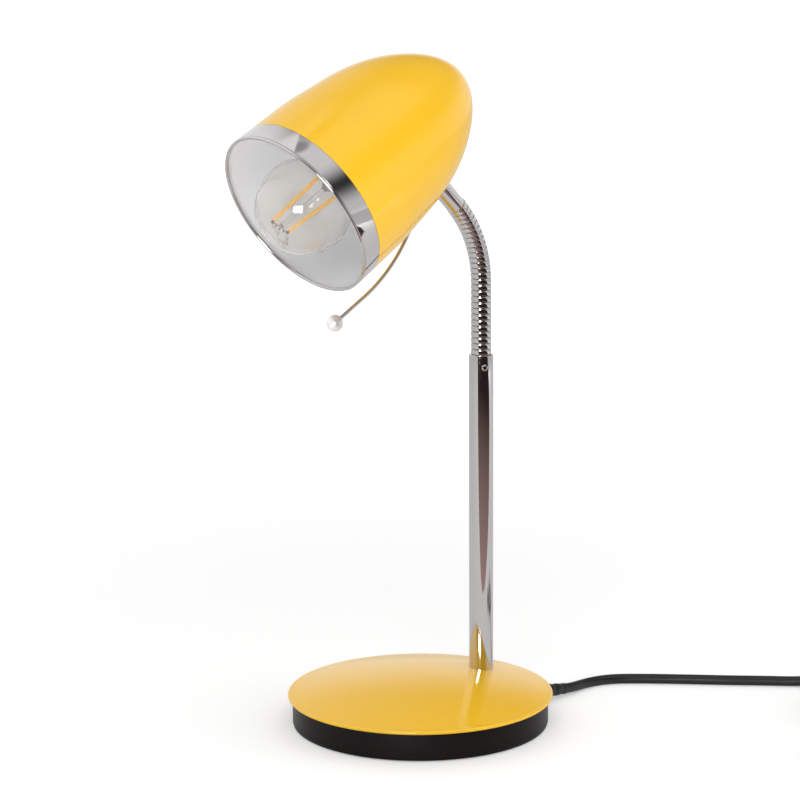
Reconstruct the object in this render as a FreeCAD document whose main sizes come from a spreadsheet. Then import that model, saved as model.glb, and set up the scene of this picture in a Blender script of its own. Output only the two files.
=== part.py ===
import FreeCAD, Part
import math
import os

import Sketcher
from FreeCAD import Placement, Rotation, Vector

# A desk lamp: domed base, tube stem, bendable ribbed neck, bullet-shaped shade and round bulb.
# The origin is the centre of the base where it meets the desk. The shade looks along -Y, the stem
# stands at +Y, and X = 0 is the plane that the lamp is symmetric about.

SIZES = {
    # clearances
    "overrun": 2.0,
    "fit_gap": 0.05,
    "loose_gap": 0.3,
    # base cover
    "cover_diameter": 130.0,
    "cover_lip_height": 14.1,
    "cover_lip_tuck": 0.35,
    "cover_edge_rise": 1.65,
    "cover_edge_inset": 1.1,
    "cover_crown_rise": 6.3,
    "cover_wall": 1.0,
    # base tray
    "tray_inset": 2.25,
    "tray_wall": 1.8,
    "tray_lift": 0.6,
    "tray_floor": 1.6,
    "tray_seat_rise": 0.85,
    "boss_diameter": 10.0,
    "screw_inset": 20.0,
    "screw_diameter": 4.0,
    "screw_head_diameter": 7.4,
    "screw_head_height": 2.4,
    "screw_length": 10.5,
    "screw_socket_width": 2.5,
    "screw_socket_depth": 1.4,
    # resting pad
    "pad_inset": 3.75,
    "pad_thickness": 1.4,
    # weight
    "weight_gap": 6.95,
    "weight_thickness": 6.8,
    "weight_lift": 5.6,
    # stem and foot
    "stem_inset": 24.65,
    "stem_diameter": 12.0,
    "stem_wall": 1.0,
    "stem_top": 178.8,
    "nipple_bore": 6.4,
    "nipple_height": 26.0,
    "nut_across_flats": 14.0,
    "nut_thickness": 3.6,
    "nut_recess_diameter": 18.0,
    "nut_recess_depth": 4.2,
    "spacer_diameter": 17.0,
    "socket_length": 24.0,
    "set_screw_drop": 5.8,
    "set_screw_diameter": 2.4,
    "set_screw_head_diameter": 3.0,
    "set_screw_head_height": 0.8,
    "set_screw_reach": 2.2,
    # neck
    "rib_pitch": 2.91,
    "rib_crest_diameter": 10.0,
    "rib_valley_diameter": 9.1,
    "neck_bore": 4.2,
    "neck_gap": 1.0,
    "neck_ball_diameter": 7.2,
    "neck_ball_gap": 0.08,
    "inner_lead_diameter": 3.0,
    "inner_lead_bend": 4.0,
    # ferrule and its nut
    "ferrule_length": 20.13,
    "ferrule_diameter": 9.3,
    "stud_diameter": 8.0,
    "stud_reach": 8.0,
    "head_nut_across_flats": 11.0,
    "head_nut_thickness": 3.0,
    "head_washer_diameter": 12.0,
    # shade
    "shade_rim_diameter": 85.9,
    "shade_shoulder_diameter": 84.3,
    "shade_shoulder_station": 27.7,
    "shade_length": 114.8,
    "shade_wall": 0.8,
    "shade_seat_station": 78.09,
    "band_width": 10.4,
    "band_thickness": 0.35,
    "bead_diameter": 1.7,
    # handle
    "handle_station": 58.2,
    "handle_wire_diameter": 1.9,
    "handle_stand": 1.0,
    "handle_root_bend": 5.0,
    "handle_bow_radius": 77.5,
    "handle_run": 20.5,
    "handle_ball_diameter": 8.0,
    "handle_stud": 4.4,
    "handle_nut_across_flats": 4.6,
    "handle_nut_thickness": 2.2,
    # lampholder
    "bracket_thickness": 1.2,
    "bracket_width": 10.0,
    "bracket_sag": 1.7,
    "bracket_bend": 3.0,
    "holder_mouth_station": 37.0,
    "holder_skirt_length": 29.0,
    "holder_length": 49.0,
    "holder_diameter": 39.0,
    "holder_back_diameter": 28.0,
    "holder_wall": 3.0,
    "holder_web": 3.0,
    "holder_boss_diameter": 10.0,
    "holder_nut_across_flats": 14.0,
    "holder_nut_thickness": 3.0,
    "thread_sleeve_wall": 1.0,
    "contact_diameter": 7.0,
    # bulb
    "bulb_diameter": 45.0,
    "bulb_centre_station": 6.5,
    "bulb_neck_diameter": 25.6,
    "bulb_neck_round": 14.0,
    "bulb_glass_wall": 0.8,
    "bulb_glass_end": 36.5,
    "cap_diameter": 26.4,
    "cap_wall": 0.3,
    "cap_start_station": 34.6,
    "cap_length": 22.0,
    "cap_cone_length": 2.4,
    "bulb_tip_thickness": 2.2,
    "bulb_tip_diameter": 9.4,
    "glass_stem_flare_length": 1.0,
    "glass_stem_diameter": 7.0,
    "glass_stem_station": 23.0,
    "glass_rod_diameter": 2.4,
    "glass_rod_station": -8.6,
    "filament_diameter": 1.8,
    "filament_tip_station": -9.0,
    "filament_back_station": 26.0,
    "filament_tip_side": 3.8,
    "filament_tip_drop": 2.5,
    "filament_back_side": 2.9,
    "filament_back_drop": 5.6,
    "bulb_lead_diameter": 0.5,
    "bulb_lead_gap": 0.15,
    # outside lead
    "lead_diameter": 5.0,
    "lead_exit_height": 5.0,
    "grommet_diameter": 5.4,
    "grommet_flange_diameter": 8.4,
    "grommet_flange_thickness": 2.0,
    "coil_mean_diameter": 55.0,
    "coil_turn_gap": 0.6,
    "coil_end_run": 5.0,
    "tie_thickness": 0.7,
    "tie_width": 6.0,
    # switch
    "switch_length": 52.0,
    "switch_width": 20.0,
    "switch_base_height": 4.2,
    "switch_cover_height": 7.2,
    "switch_corner": 5.0,
    "switch_edge_round": 1.5,
    "switch_floor": 1.4,
    "switch_side_wall": 2.0,
    "switch_tunnel": 5.6,
    "switch_room_height": 2.8,
    "rocker_length": 13.0,
    "rocker_width": 8.4,
    "rocker_pin_height": 4.8,
    "rocker_below_pin": 1.9,
    "rocker_above_pin": 3.3,
    "rocker_dish": 1.0,
    "rocker_pin_diameter": 2.4,
    "rocker_pin_reach": 1.4,
    # plug
    "plug_length": 36.0,
    "plug_face_width": 35.0,
    "plug_neck_width": 13.0,
    "plug_height": 13.6,
    "plug_edge_round": 2.5,
    "pin_diameter": 4.0,
    "pin_length": 19.0,
    "pin_spacing": 18.6,
    "pin_tip": 0.8,
    "pin_root_length": 4.0,
    "pin_root_diameter": 3.0,
}

# Angles in degrees.
ANGLES = {
    "cord_exit_angle": 13.0,
    "set_screw_angle": -26.0,
    "neck_bend_angle": 45.0,
    "shade_tilt": 30.19,
    "handle_bow_angle": 33.0,
    "rocker_rest_angle": 6.0,
    "switch_heading": 43.8,
}

COUNTS = {
    "base_screws": 3,
    "straight_segments": 4,
    "bent_segments": 5,
    "ribs_per_segment": 3,
    "coil_half_turns_in": 5,
    "coil_half_turns_out": 6,
}

# The shade's outline past its shoulder: share of the way to the nose, share of the shoulder radius.
SHADE_SHARES = [
    (0.20, 0.960),
    (0.40, 0.904),
    (0.55, 0.825),
    (0.70, 0.695),
    (0.80, 0.573),
    (0.88, 0.447),
    (0.94, 0.317),
    (0.98, 0.182),
]

# The lead's route on the desk: from the base to the switch, to the coil, and then to the plug.
LEAD_TO_SWITCH = [
    (16.6, 86.5, 3.3),
    (13.8, 101.0, 2.5),
    (17.0, 114.5, 2.5),
    (27.8, 127.3, 2.5),
    (45.0, 144.5, 2.5),
    (58.5, 157.3, 2.5),
    (71.0, 170.3, 2.5),
    (85.3, 184.0, 2.5),
]
SWITCH_APPROACH = (93.0, 191.2)
LEAD_TO_COIL = [(164.5, 243.1), (182.0, 235.7), (192.5, 219.9), (193.4, 202.5)]
COIL_START = (193.4, 180.5)
LEAD_TO_PLUG = [(193.4, 166.0), (192.8, 157.0)]
PLUG_ENTRY = (191.5, 148.5)

# The sheet of sizes.
doc = FreeCAD.newDocument("desk_lamp")
sheet = doc.addObject("Spreadsheet::Sheet", "Sizes")
for row, (alias, number) in enumerate({**SIZES, **ANGLES, **COUNTS}.items(), start=1):
    sheet.set(f"A{row}", alias)
    sheet.set(f"B{row}", str(number))
    sheet.setAlias(f"B{row}", alias)
doc.recompute()


class Size:
    """A length that knows both its value and how it is worked out from the sheet's cells."""

    def __init__(self, value, text):
        self.value = value
        self.text = text

    def joined(self, sign, other, value):
        text = other.text if isinstance(other, Size) else str(other)
        return Size(value, f"({self.text} {sign} {text})")

    def __add__(self, other):
        return self.joined("+", other, self.value + float(other))

    def __sub__(self, other):
        return self.joined("-", other, self.value - float(other))

    def __mul__(self, other):
        return self.joined("*", other, self.value * float(other))

    def __truediv__(self, other):
        return self.joined("/", other, self.value / float(other))

    def __neg__(self):
        return Size(-self.value, f"(-1 * {self.text})")

    def __float__(self):
        return float(self.value)


class SheetSizes:
    """Gives each cell of the sheet as a Size, by its alias."""

    def __getattr__(self, alias):
        return Size(float(sheet.get(alias)), f"{sheet.Name}.{alias}")


at = SheetSizes()
ZERO = Size(0.0, "0")
X_AXIS, Y_AXIS, Z_AXIS = Vector(1, 0, 0), Vector(0, 1, 0), Vector(0, 0, 1)
sub_parts = []


def count(alias):
    return int(sheet.get(alias))


def angle(alias):
    return math.radians(float(sheet.get(alias)))


def keep(feature, label, placement=None):
    """Lists an object as a sub-part under its own label."""
    feature.Label = label
    if placement is not None:
        feature.Placement = placement
    sub_parts.append(feature)
    return feature


def shaped(label, shape, placement=None):
    """A sub-part whose shape comes from curves or sweeps."""
    return keep(helper(label + "_shape", shape), label, placement)


def helper(name, shape):
    feature = doc.addObject("Part::Feature", name)
    feature.Shape = shape
    return feature


# Bodies with sketches.


def new_body(name):
    return doc.addObject("PartDesign::Body", name)


def origin_plane(body, role):
    return next(item for item in body.Origin.OriginFeatures if item.Role == role)


def new_sketch(body, role, lift=None):
    sketch = body.newObject("Sketcher::SketchObject", body.Name + "_sketch")
    sketch.AttachmentSupport = [(origin_plane(body, role), "")]
    sketch.MapMode = "FlatFace"
    if lift is not None:
        sketch.setExpression("AttachmentOffset.Base.z", lift.text)
    return sketch


def hold_point(sketch, geometry, end, across, along):
    """Ties one end of a line, or a circle's centre, to its place from the sketch's origin."""
    for kind, size, axis in (("DistanceX", across, -2), ("DistanceY", along, -1)):
        if size.value == 0:
            sketch.addConstraint(Sketcher.Constraint("PointOnObject", geometry, end, axis))
            continue
        index = sketch.addConstraint(Sketcher.Constraint(kind, -1, 1, geometry, end, size.value))
        sketch.setExpression(f"Constraints[{index}]", size.text)


def draw_outline(sketch, corners):
    """A closed outline of straight lines through the corners."""
    points = [Vector(float(x), float(y), 0) for x, y in corners]
    first = sketch.GeometryCount
    for start, end in zip(points, points[1:] + points[:1]):
        sketch.addGeometry(Part.LineSegment(start, end), False)
    for index, (x, y) in enumerate(corners):
        before = first + (index - 1) % len(corners)
        sketch.addConstraint(Sketcher.Constraint("Coincident", before, 2, first + index, 1))
        hold_point(sketch, first + index, 1, x, y)


def draw_circle(sketch, x, y, radius):
    centre = Vector(float(x), float(y), 0)
    index = sketch.addGeometry(Part.Circle(centre, Z_AXIS, float(radius)), False)
    hold_point(sketch, index, 3, x, y)
    bound = sketch.addConstraint(Sketcher.Constraint("Radius", index, float(radius)))
    sketch.setExpression(f"Constraints[{bound}]", radius.text)


def draw_rectangle(sketch, length, width):
    half, side = length / 2, width / 2
    draw_outline(sketch, [(-half, -side), (half, -side), (half, side), (-half, side)])


def turned_body(label, corners):
    """A body turned about its Z axis from corners given as radius and height."""
    body = new_body(label + "_body")
    sketch = new_sketch(body, "XZ_Plane")
    draw_outline(sketch, corners)
    feature = body.newObject("PartDesign::Revolution", body.Name + "_turn")
    feature.Profile = sketch
    feature.ReferenceAxis = (sketch, ["V_Axis"])
    feature.Angle = 360
    return body


def turned(label, corners, placement=None):
    return keep(turned_body(label, corners), label, placement)


def pad(body, sketch, length):
    feature = body.newObject("PartDesign::Pad", body.Name + "_pad")
    feature.Profile = sketch
    feature.setExpression("Length", length.text)
    return feature


def pocket(body, sketch, depth, upward):
    feature = body.newObject("PartDesign::Pocket", body.Name + "_pocket")
    feature.Profile = sketch
    feature.setExpression("Length", depth.text)
    feature.Reversed = upward
    return feature


def must_cut(body, feature):
    """Stops if a cutting feature took nothing away."""
    doc.recompute()
    before = feature.BaseFeature.Shape.Volume
    if feature.Shape.Volume >= before * (1 - 1e-6):
        raise RuntimeError(f"{body.Label}: {feature.Name} cuts nothing")


def ring_pattern(body, feature, copies):
    pattern = body.newObject("PartDesign::PolarPattern", body.Name + "_ring")
    pattern.Originals = [feature]
    pattern.Axis = (origin_plane(body, "Z_Axis"), [""])
    pattern.Angle = 360
    pattern.setExpression("Occurrences", f"{sheet.Name}.{copies}")
    body.Tip = pattern
    return pattern


# Part primitives.


def cylinder(name, radius, height, base=None, turn=None):
    feature = doc.addObject("Part::Cylinder", name)
    feature.setExpression("Radius", radius.text)
    feature.setExpression("Height", height.text)
    place(feature, base, turn)
    return feature


def place(feature, base, turn):
    if turn is not None:
        feature.Placement = Placement(Vector(), turn)
    for name, size in zip("xyz", base or ()):
        feature.setExpression(f"Placement.Base.{name}", size.text)


def prism(name, across_flats, height, base=None):
    feature = doc.addObject("Part::Prism", name)
    feature.Polygon = 6
    feature.setExpression("Circumradius", f"{across_flats.text} / 2 / cos(30)")
    feature.setExpression("Height", height.text)
    place(feature, base, None)
    return feature


def cut(name, base, tool):
    feature = doc.addObject("Part::Cut", name)
    feature.Base = base
    feature.Tool = tool
    return feature


# Curves and sweeps.


def spin(edges):
    """A solid turned about Z from a closed chain of edges in the XZ plane."""
    face = Part.Face(Part.Wire(Part.__sortEdges__(edges)))
    return face.revolve(Vector(), Z_AXIS, 360)


def line(start, end):
    return Part.LineSegment(start, end).toShape()


def arc(start, middle, end):
    return Part.Arc(start, middle, end).toShape()


def polar(centre, radius, turn):
    """A point in the XZ plane, at an angle from the X axis."""
    return centre + Vector(radius * math.cos(turn), 0, radius * math.sin(turn))


# How much of the shorter run an arc takes up.
RUN_SHARE = 0.45


def round_path(points, bends=None):
    """Straight runs joined by tangent arcs. Returns the wire and the arcs' radii."""
    radii = []
    edges = []
    last = points[0]
    for index in range(1, len(points) - 1):
        before = points[index] - points[index - 1]
        after = points[index + 1] - points[index]
        turn = before.getAngle(after)
        radius = RUN_SHARE * min(before.Length, after.Length) / math.tan(turn / 2)
        if bends and bends.get(index):
            radius = bends[index]
        reach = radius * math.tan(turn / 2)
        into = points[index] - before.normalize() * reach
        out = points[index] + after.normalize() * reach
        inward = (after - before).normalize()
        middle = points[index] + inward * (radius / math.cos(turn / 2) - radius)
        edges += [line(last, into), arc(into, middle, out)]
        radii.append(round(radius, 1))
        last = out
    edges.append(line(last, points[-1]))
    return Part.Wire(edges), radii


def tube(label, path, diameter):
    """A round tube along a wire, whose volume is compared with its section times its length."""
    first = path.OrderedEdges[0]
    start = first.valueAt(first.FirstParameter)
    ring = Part.Circle(start, first.tangentAt(first.FirstParameter), diameter / 2)
    solid = path.makePipeShell([Part.Wire(ring.toShape())], True, False)
    wanted = math.pi * diameter**2 / 4 * path.Length
    share = solid.Volume / wanted
    print(f"{label}: length {path.Length:.1f}, volume over section times length {share:.4f}")
    return solid


# Base tray, resting pad, weight and their screws.

# Inwards from the cover's edge come the tray's wall, the weight and then the stem and the screws.
tray_radius = at.cover_diameter / 2 - at.tray_inset
weight_radius = tray_radius - at.tray_wall - at.weight_gap
stem_offset = at.cover_diameter / 2 - at.stem_inset
screw_reach = weight_radius - at.screw_inset
floor_top = at.tray_lift + at.tray_floor
weight_bottom = floor_top + at.weight_lift
weight_top = weight_bottom + at.weight_thickness
pad_radius = tray_radius - at.pad_inset
tray_top = at.cover_lip_height + at.tray_seat_rise

tray = turned(
    "base_tray",
    [
        (ZERO, at.pad_thickness),
        (pad_radius + at.fit_gap, at.pad_thickness),
        (pad_radius + at.fit_gap, at.tray_lift),
        (tray_radius, at.tray_lift),
        (tray_radius, tray_top),
        (tray_radius - at.tray_wall, tray_top),
        (tray_radius - at.tray_wall, floor_top),
        (ZERO, floor_top),
    ],
)
boss_sketch = new_sketch(tray, "XY_Plane", floor_top)
draw_circle(boss_sketch, ZERO, -screw_reach, at.boss_diameter / 2)
boss = pad(tray, boss_sketch, at.weight_lift)
ring_pattern(tray, boss, "base_screws")

head_sketch = new_sketch(tray, "XY_Plane", at.pad_thickness)
head_radius = at.screw_head_diameter / 2 + at.loose_gap
draw_circle(head_sketch, ZERO, -screw_reach, head_radius)
head_depth = at.screw_head_height + at.loose_gap
head_recess = pocket(tray, head_sketch, head_depth, True)
must_cut(tray, head_recess)
ring_pattern(tray, head_recess, "base_screws")

shank_sketch = new_sketch(tray, "XY_Plane", at.pad_thickness)
shank_radius = at.screw_diameter / 2 + at.loose_gap
draw_circle(shank_sketch, ZERO, -screw_reach, shank_radius)
shank_hole = pocket(tray, shank_sketch, weight_bottom, True)
must_cut(tray, shank_hole)
ring_pattern(tray, shank_hole, "base_screws")

exit_side = Vector(math.sin(angle("cord_exit_angle")), math.cos(angle("cord_exit_angle")), 0)

# The lead's hole in the tray's wall is bored along the direction in which the lead leaves.
bore_sketch = new_sketch(tray, "XZ_Plane")
exit_hole_radius = at.grommet_diameter / 2 + at.fit_gap
draw_circle(bore_sketch, ZERO, at.lead_exit_height, exit_hole_radius)
turn_exit = f"-{sheet.Name}.cord_exit_angle"
bore_sketch.setExpression("AttachmentOffset.Rotation.Angle", turn_exit)
exit_turn = Rotation(Y_AXIS, -math.degrees(angle("cord_exit_angle")))
bore_sketch.AttachmentOffset = Placement(Vector(), exit_turn)
exit_bore = pocket(tray, bore_sketch, tray_radius + at.overrun, False)
must_cut(tray, exit_bore)

foot_pad = cylinder("base_pad_disc", pad_radius, at.pad_thickness)
keep(foot_pad, "base_pad")

weight = new_body("base_weight_body")
weight_sketch = new_sketch(weight, "XY_Plane", weight_bottom)
draw_circle(weight_sketch, ZERO, ZERO, weight_radius)
pad(weight, weight_sketch, at.weight_thickness)
tube_inner = at.stem_diameter / 2 - at.stem_wall
nipple_radius = tube_inner - at.fit_gap
foot_sketch = new_sketch(weight, "XY_Plane", weight_bottom)
draw_circle(foot_sketch, ZERO, stem_offset, nipple_radius + at.fit_gap)
foot_hole = pocket(weight, foot_sketch, at.weight_thickness, True)
must_cut(weight, foot_hole)
recess_sketch = new_sketch(weight, "XY_Plane", weight_bottom)
draw_circle(recess_sketch, ZERO, stem_offset, at.nut_recess_diameter / 2)
nut_recess = pocket(weight, recess_sketch, at.nut_recess_depth, True)
must_cut(weight, nut_recess)
tapped_sketch = new_sketch(weight, "XY_Plane", weight_bottom)
tapped_radius = at.screw_diameter / 2 + at.fit_gap
draw_circle(tapped_sketch, ZERO, -screw_reach, tapped_radius)
tapped_hole = pocket(weight, tapped_sketch, at.weight_thickness, True)
must_cut(weight, tapped_hole)
ring_pattern(weight, tapped_hole, "base_screws")
keep(weight, "base_weight")

screws = new_body("base_screws_body")
screw_bottom = at.pad_thickness + at.loose_gap
screw_head_sketch = new_sketch(screws, "XY_Plane", screw_bottom)
draw_circle(screw_head_sketch, ZERO, -screw_reach, at.screw_head_diameter / 2)
pad(screws, screw_head_sketch, at.screw_head_height)
shank_bottom = screw_bottom + at.screw_head_height
screw_shank_sketch = new_sketch(screws, "XY_Plane", shank_bottom)
draw_circle(screw_shank_sketch, ZERO, -screw_reach, at.screw_diameter / 2)
pad(screws, screw_shank_sketch, at.screw_length)
socket_sketch = new_sketch(screws, "XY_Plane", screw_bottom)
draw_circle(socket_sketch, ZERO, -screw_reach, at.screw_socket_width / 2)
socket_cut = pocket(screws, socket_sketch, at.screw_socket_depth, True)
must_cut(screws, socket_cut)
one_screw = screws.Shape.copy()
ring = [one_screw.copy() for _ in range(count("base_screws"))]
for index, screw in enumerate(ring):
    screw.rotate(Vector(), Z_AXIS, 360 * index / len(ring))
shaped("base_screws", Part.makeCompound(ring))

# Base cover: a shallow dome with a rounded edge, pressed from sheet.

cover_radius = float(at.cover_diameter) / 2
lip = Vector(cover_radius - float(at.cover_lip_tuck), 0, float(at.cover_lip_height))
edge_top = lip.z + float(at.cover_edge_rise)
crown_edge = Vector(cover_radius - float(at.cover_edge_inset), 0, edge_top)
crown_rise = float(at.cover_crown_rise)
crown_top = Vector(0, 0, edge_top + crown_rise)
crown_radius = (crown_edge.x**2 + crown_rise**2) / (2 * crown_rise)
crown_centre = crown_top - Z_AXIS * crown_radius
edge_bulge = Vector(cover_radius, 0, (lip.z + edge_top) / 2)

def crown_arc(drop, reach):
    """The crown's arc from its middle out to a radius, lowered by drop."""
    centre = crown_centre - Z_AXIS * drop
    end = centre + Vector(reach, 0, math.sqrt(crown_radius**2 - reach**2))
    half = centre + Vector(reach / 2, 0, math.sqrt(crown_radius**2 - reach**2 / 4))
    return centre + Z_AXIS * crown_radius, half, end


sheet_wall = float(at.cover_wall)
seat_top, seat_half, seat_edge = crown_arc(sheet_wall, crown_edge.x - sheet_wall)
lip_inside = Vector(lip.x - sheet_wall, 0, lip.z)
outer_top, outer_half, outer_edge = crown_arc(0, crown_edge.x)
cover_solid = spin(
    [
        arc(outer_top, outer_half, outer_edge),
        arc(outer_edge, edge_bulge, lip),
        line(lip, lip_inside),
        line(lip_inside, seat_edge),
        arc(seat_edge, seat_half, seat_top),
        line(seat_top, outer_top),
    ]
)
stem_foot = Vector(0, float(stem_offset), 0)
nipple_hole = Part.makeCylinder(float(nipple_radius + at.fit_gap), float(at.stem_top), stem_foot)
shaped("base_cover", cover_solid.cut(nipple_hole))

# What lies under the cover's outer face, and under its inner face, to cut what stands on them.
under_cover = spin(
    [
        arc(outer_top, outer_half, outer_edge),
        line(outer_edge, Vector(outer_edge.x, 0, 0)),
        line(Vector(outer_edge.x, 0, 0), Vector()),
        line(Vector(), outer_top),
    ]
)
in_cover = spin(
    [
        arc(seat_top, seat_half, seat_edge),
        line(seat_edge, Vector(seat_edge.x, 0, 0)),
        line(Vector(seat_edge.x, 0, 0), Vector()),
        line(Vector(), seat_top),
    ]
)

# Stem: tube, threaded nipple, nut and spacer at the foot, socket and set screw at the top.

foot = (ZERO, stem_offset)
stem_low = at.cover_lip_height
stem_length = at.stem_top - stem_low
stem_outer = cylinder("stem_outer", at.stem_diameter / 2, stem_length, (*foot, stem_low))
stem_inner = cylinder("stem_inner", tube_inner, stem_length, (*foot, stem_low))
stem_pipe = cut("stem_pipe", stem_outer, stem_inner)
set_screw_height = at.stem_top - at.set_screw_drop
screw_turn = Rotation(Z_AXIS, math.degrees(angle("set_screw_angle"))) * Rotation(Y_AXIS, 90)
set_hole_radius = at.set_screw_diameter / 2 + at.fit_gap
set_hole = cylinder(
    "set_hole", set_hole_radius, at.stem_diameter, (*foot, set_screw_height), screw_turn
)
drilled_pipe = cut("drilled_pipe", stem_pipe, set_hole)
keep(cut("stem_tube_part", drilled_pipe, helper("under_cover", under_cover)), "stem_tube")

nipple_bottom = weight_bottom + at.nut_recess_depth - at.nut_thickness
nipple_outer = cylinder("nipple_outer", nipple_radius, at.nipple_height, (*foot, nipple_bottom))
nipple_inner = cylinder(
    "nipple_inner", at.nipple_bore / 2, at.nipple_height, (*foot, nipple_bottom)
)
keep(cut("stem_nipple_part", nipple_outer, nipple_inner), "stem_nipple")

nut_solid = prism("foot_nut_solid", at.nut_across_flats, at.nut_thickness, (*foot, nipple_bottom))
nut_bore = cylinder(
    "foot_nut_bore", nipple_radius + at.fit_gap, at.nut_thickness, (*foot, nipple_bottom)
)
keep(cut("foot_nut_part", nut_solid, nut_bore), "foot_nut")

spacer_tall = at.stem_top - weight_top
spacer_outer = cylinder("spacer_outer", at.spacer_diameter / 2, spacer_tall, (*foot, weight_top))
spacer_inner = cylinder(
    "spacer_inner", nipple_radius + at.fit_gap, spacer_tall, (*foot, weight_top)
)
spacer_pipe = cut("spacer_pipe", spacer_outer, spacer_inner)
spacer = doc.addObject("Part::Common", "foot_spacer_part")
spacer.Base = spacer_pipe
spacer.Tool = helper("in_cover", in_cover)
keep(spacer, "foot_spacer")

socket_low = at.stem_top - at.socket_length
socket_outer = cylinder("socket_outer", nipple_radius, at.socket_length, (*foot, socket_low))
socket_inner = cylinder("socket_inner", at.neck_bore / 2, at.socket_length, (*foot, socket_low))
socket_pipe = cut("socket_pipe", socket_outer, socket_inner)
socket_tap = cylinder(
    "socket_tap", set_hole_radius, at.stem_diameter, (*foot, set_screw_height), screw_turn
)
keep(cut("neck_socket_part", socket_pipe, socket_tap), "neck_socket")

set_screw_place = Placement(
    Vector(0, float(stem_offset), float(set_screw_height)), screw_turn
)
head_low = at.stem_diameter / 2 + at.fit_gap
turned(
    "neck_set_screw",
    [
        (ZERO, head_low - at.set_screw_reach),
        (at.set_screw_diameter / 2, head_low - at.set_screw_reach),
        (at.set_screw_diameter / 2, head_low),
        (at.set_screw_head_diameter / 2, head_low),
        (at.set_screw_head_diameter / 2, head_low + at.set_screw_head_height / 2),
        (at.set_screw_head_diameter / 3, head_low + at.set_screw_head_height),
        (ZERO, head_low + at.set_screw_head_height),
    ],
    set_screw_place,
)

# Neck: straight segments above the stem, then bent ones, with a hinge in each gap.

segment_length = float(at.rib_pitch) * count("ribs_per_segment")
straight_length = segment_length * count("straight_segments")
bent_length = segment_length * count("bent_segments")
bend = angle("neck_bend_angle")
bend_radius = bent_length / bend
segments = count("straight_segments") + count("bent_segments")
neck_start = Vector(0, float(stem_offset), float(at.stem_top))
bend_start = neck_start + Z_AXIS * straight_length


def neck_turn(reach):
    return max(0.0, reach - straight_length) / bend_radius


def neck_point(reach):
    """The point of the neck's centreline at a length along it."""
    turn = neck_turn(reach)
    if turn == 0:
        return neck_start + Z_AXIS * reach
    side = Vector(0, math.cos(turn) - 1, math.sin(turn))
    return bend_start + side * bend_radius


def neck_place(reach):
    return Placement(neck_point(reach), Rotation(X_AXIS, math.degrees(neck_turn(reach))))


def neck_ring(reach, radius):
    ring = Part.Wire(Part.makeCircle(radius))
    ring.Placement = neck_place(reach)
    return ring


def neck_path(start, end):
    """The centreline between two lengths, as a line and an arc where it has them."""
    edges = []
    if start < straight_length:
        edges.append(line(neck_point(start), neck_point(min(end, straight_length))))
    if end > straight_length:
        low = max(start, straight_length)
        edges.append(arc(neck_point(low), neck_point((low + end) / 2), neck_point(end)))
    return edges


# Each segment carries the next on a ball at the hinge. A rib's shares are of its pitch.
RIB_SHARES = (0.0, 0.22, 0.78, 1.0)
BALL_BORE_SHARES = (0.5, 1.1)
neck_ball = float(at.neck_ball_diameter) / 2
crest = float(at.rib_crest_diameter) / 2
valley = float(at.rib_valley_diameter) / 2
half_gap = float(at.neck_gap) / 2
neck_length = segment_length * segments


def segment_ends(index):
    low = index * segment_length + (half_gap if index else 0)
    high = (index + 1) * segment_length - (half_gap if index < segments - 1 else 0)
    return low, high


for index in range(segments):
    low, high = segment_ends(index)
    stations = [(low, valley)]
    for rib in range(count("ribs_per_segment")):
        rib_start = index * segment_length + rib * float(at.rib_pitch)
        for share, radius in zip(RIB_SHARES[1:], (crest, crest, valley)):
            stations.append((min(high, rib_start + share * float(at.rib_pitch)), radius))
    outside = Part.makeLoft([neck_ring(reach, radius) for reach, radius in stations], True, True)
    bore_stations = [reach for reach, _ in stations]
    if index < segments - 1:
        hinge = (index + 1) * segment_length
        outside = outside.fuse(Part.makeSphere(neck_ball, neck_point(hinge)))
        bore_stations += [hinge + neck_ball * share for share in BALL_BORE_SHARES]
    if index > 0:
        socket = Part.makeSphere(neck_ball + float(at.neck_ball_gap), neck_point(low - half_gap))
        outside = outside.cut(socket)
    bore_rings = [neck_ring(reach, float(at.neck_bore) / 2) for reach in bore_stations]
    inside = Part.makeLoft(bore_rings, True, True)
    shaped(f"neck_segment_{index}", outside.cut(inside))

lead_radius = float(at.inner_lead_diameter) / 2
for index in range(1, segments - 1):
    piece = Part.Wire(neck_path(*segment_ends(index)))
    shaped(f"neck_lead_{index}", tube(f"neck_lead_{index}", piece, 2 * lead_radius))

# The shade's own frame: its origin is the middle of the mouth, Z runs back along the axis, Y down.

neck_end = neck_place(neck_length)
out_of_neck = neck_end.Rotation.multVec(Z_AXIS)
tilt = angle("shade_tilt")
shade_turn = Rotation(X_AXIS, math.degrees(tilt) - 90)
rim_radius = float(at.shade_rim_diameter) / 2
shoulder_radius = float(at.shade_shoulder_diameter) / 2
shoulder = float(at.shade_shoulder_station)
nose = float(at.shade_length)


def shade_curve(inset):
    """The shade's outline from its shoulder to its nose, set in by a wall's thickness."""
    points = [Vector(shoulder_radius - inset, 0, shoulder)]
    for along, across in SHADE_SHARES:
        station = shoulder + along * (nose - inset - shoulder)
        points.append(Vector(across * (shoulder_radius - inset), 0, station))
    points.append(Vector(0, 0, nose - inset))
    curve = Part.BSplineCurve()
    slope = Vector(shoulder_radius - rim_radius, 0, shoulder).normalize()
    curve.interpolate(Points=points, InitialTangent=slope, FinalTangent=Vector(-1, 0, 0))
    return curve


def rim_point(station, inset):
    share = station / shoulder
    return Vector(rim_radius + share * (shoulder_radius - rim_radius) - inset, 0, station)


outer_curve = shade_curve(0)


def on_shade(station):
    """The outline's point at a station past the shoulder, and the way out of the wall there."""
    level = Part.Line(Vector(0, 0, station), Vector(1, 0, station))
    found = outer_curve.intersect(level)
    point = Vector(found[0].X, 0, station)
    along = outer_curve.tangent(outer_curve.parameter(point))[0]
    return point, Vector(along.z, 0, -along.x)


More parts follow.
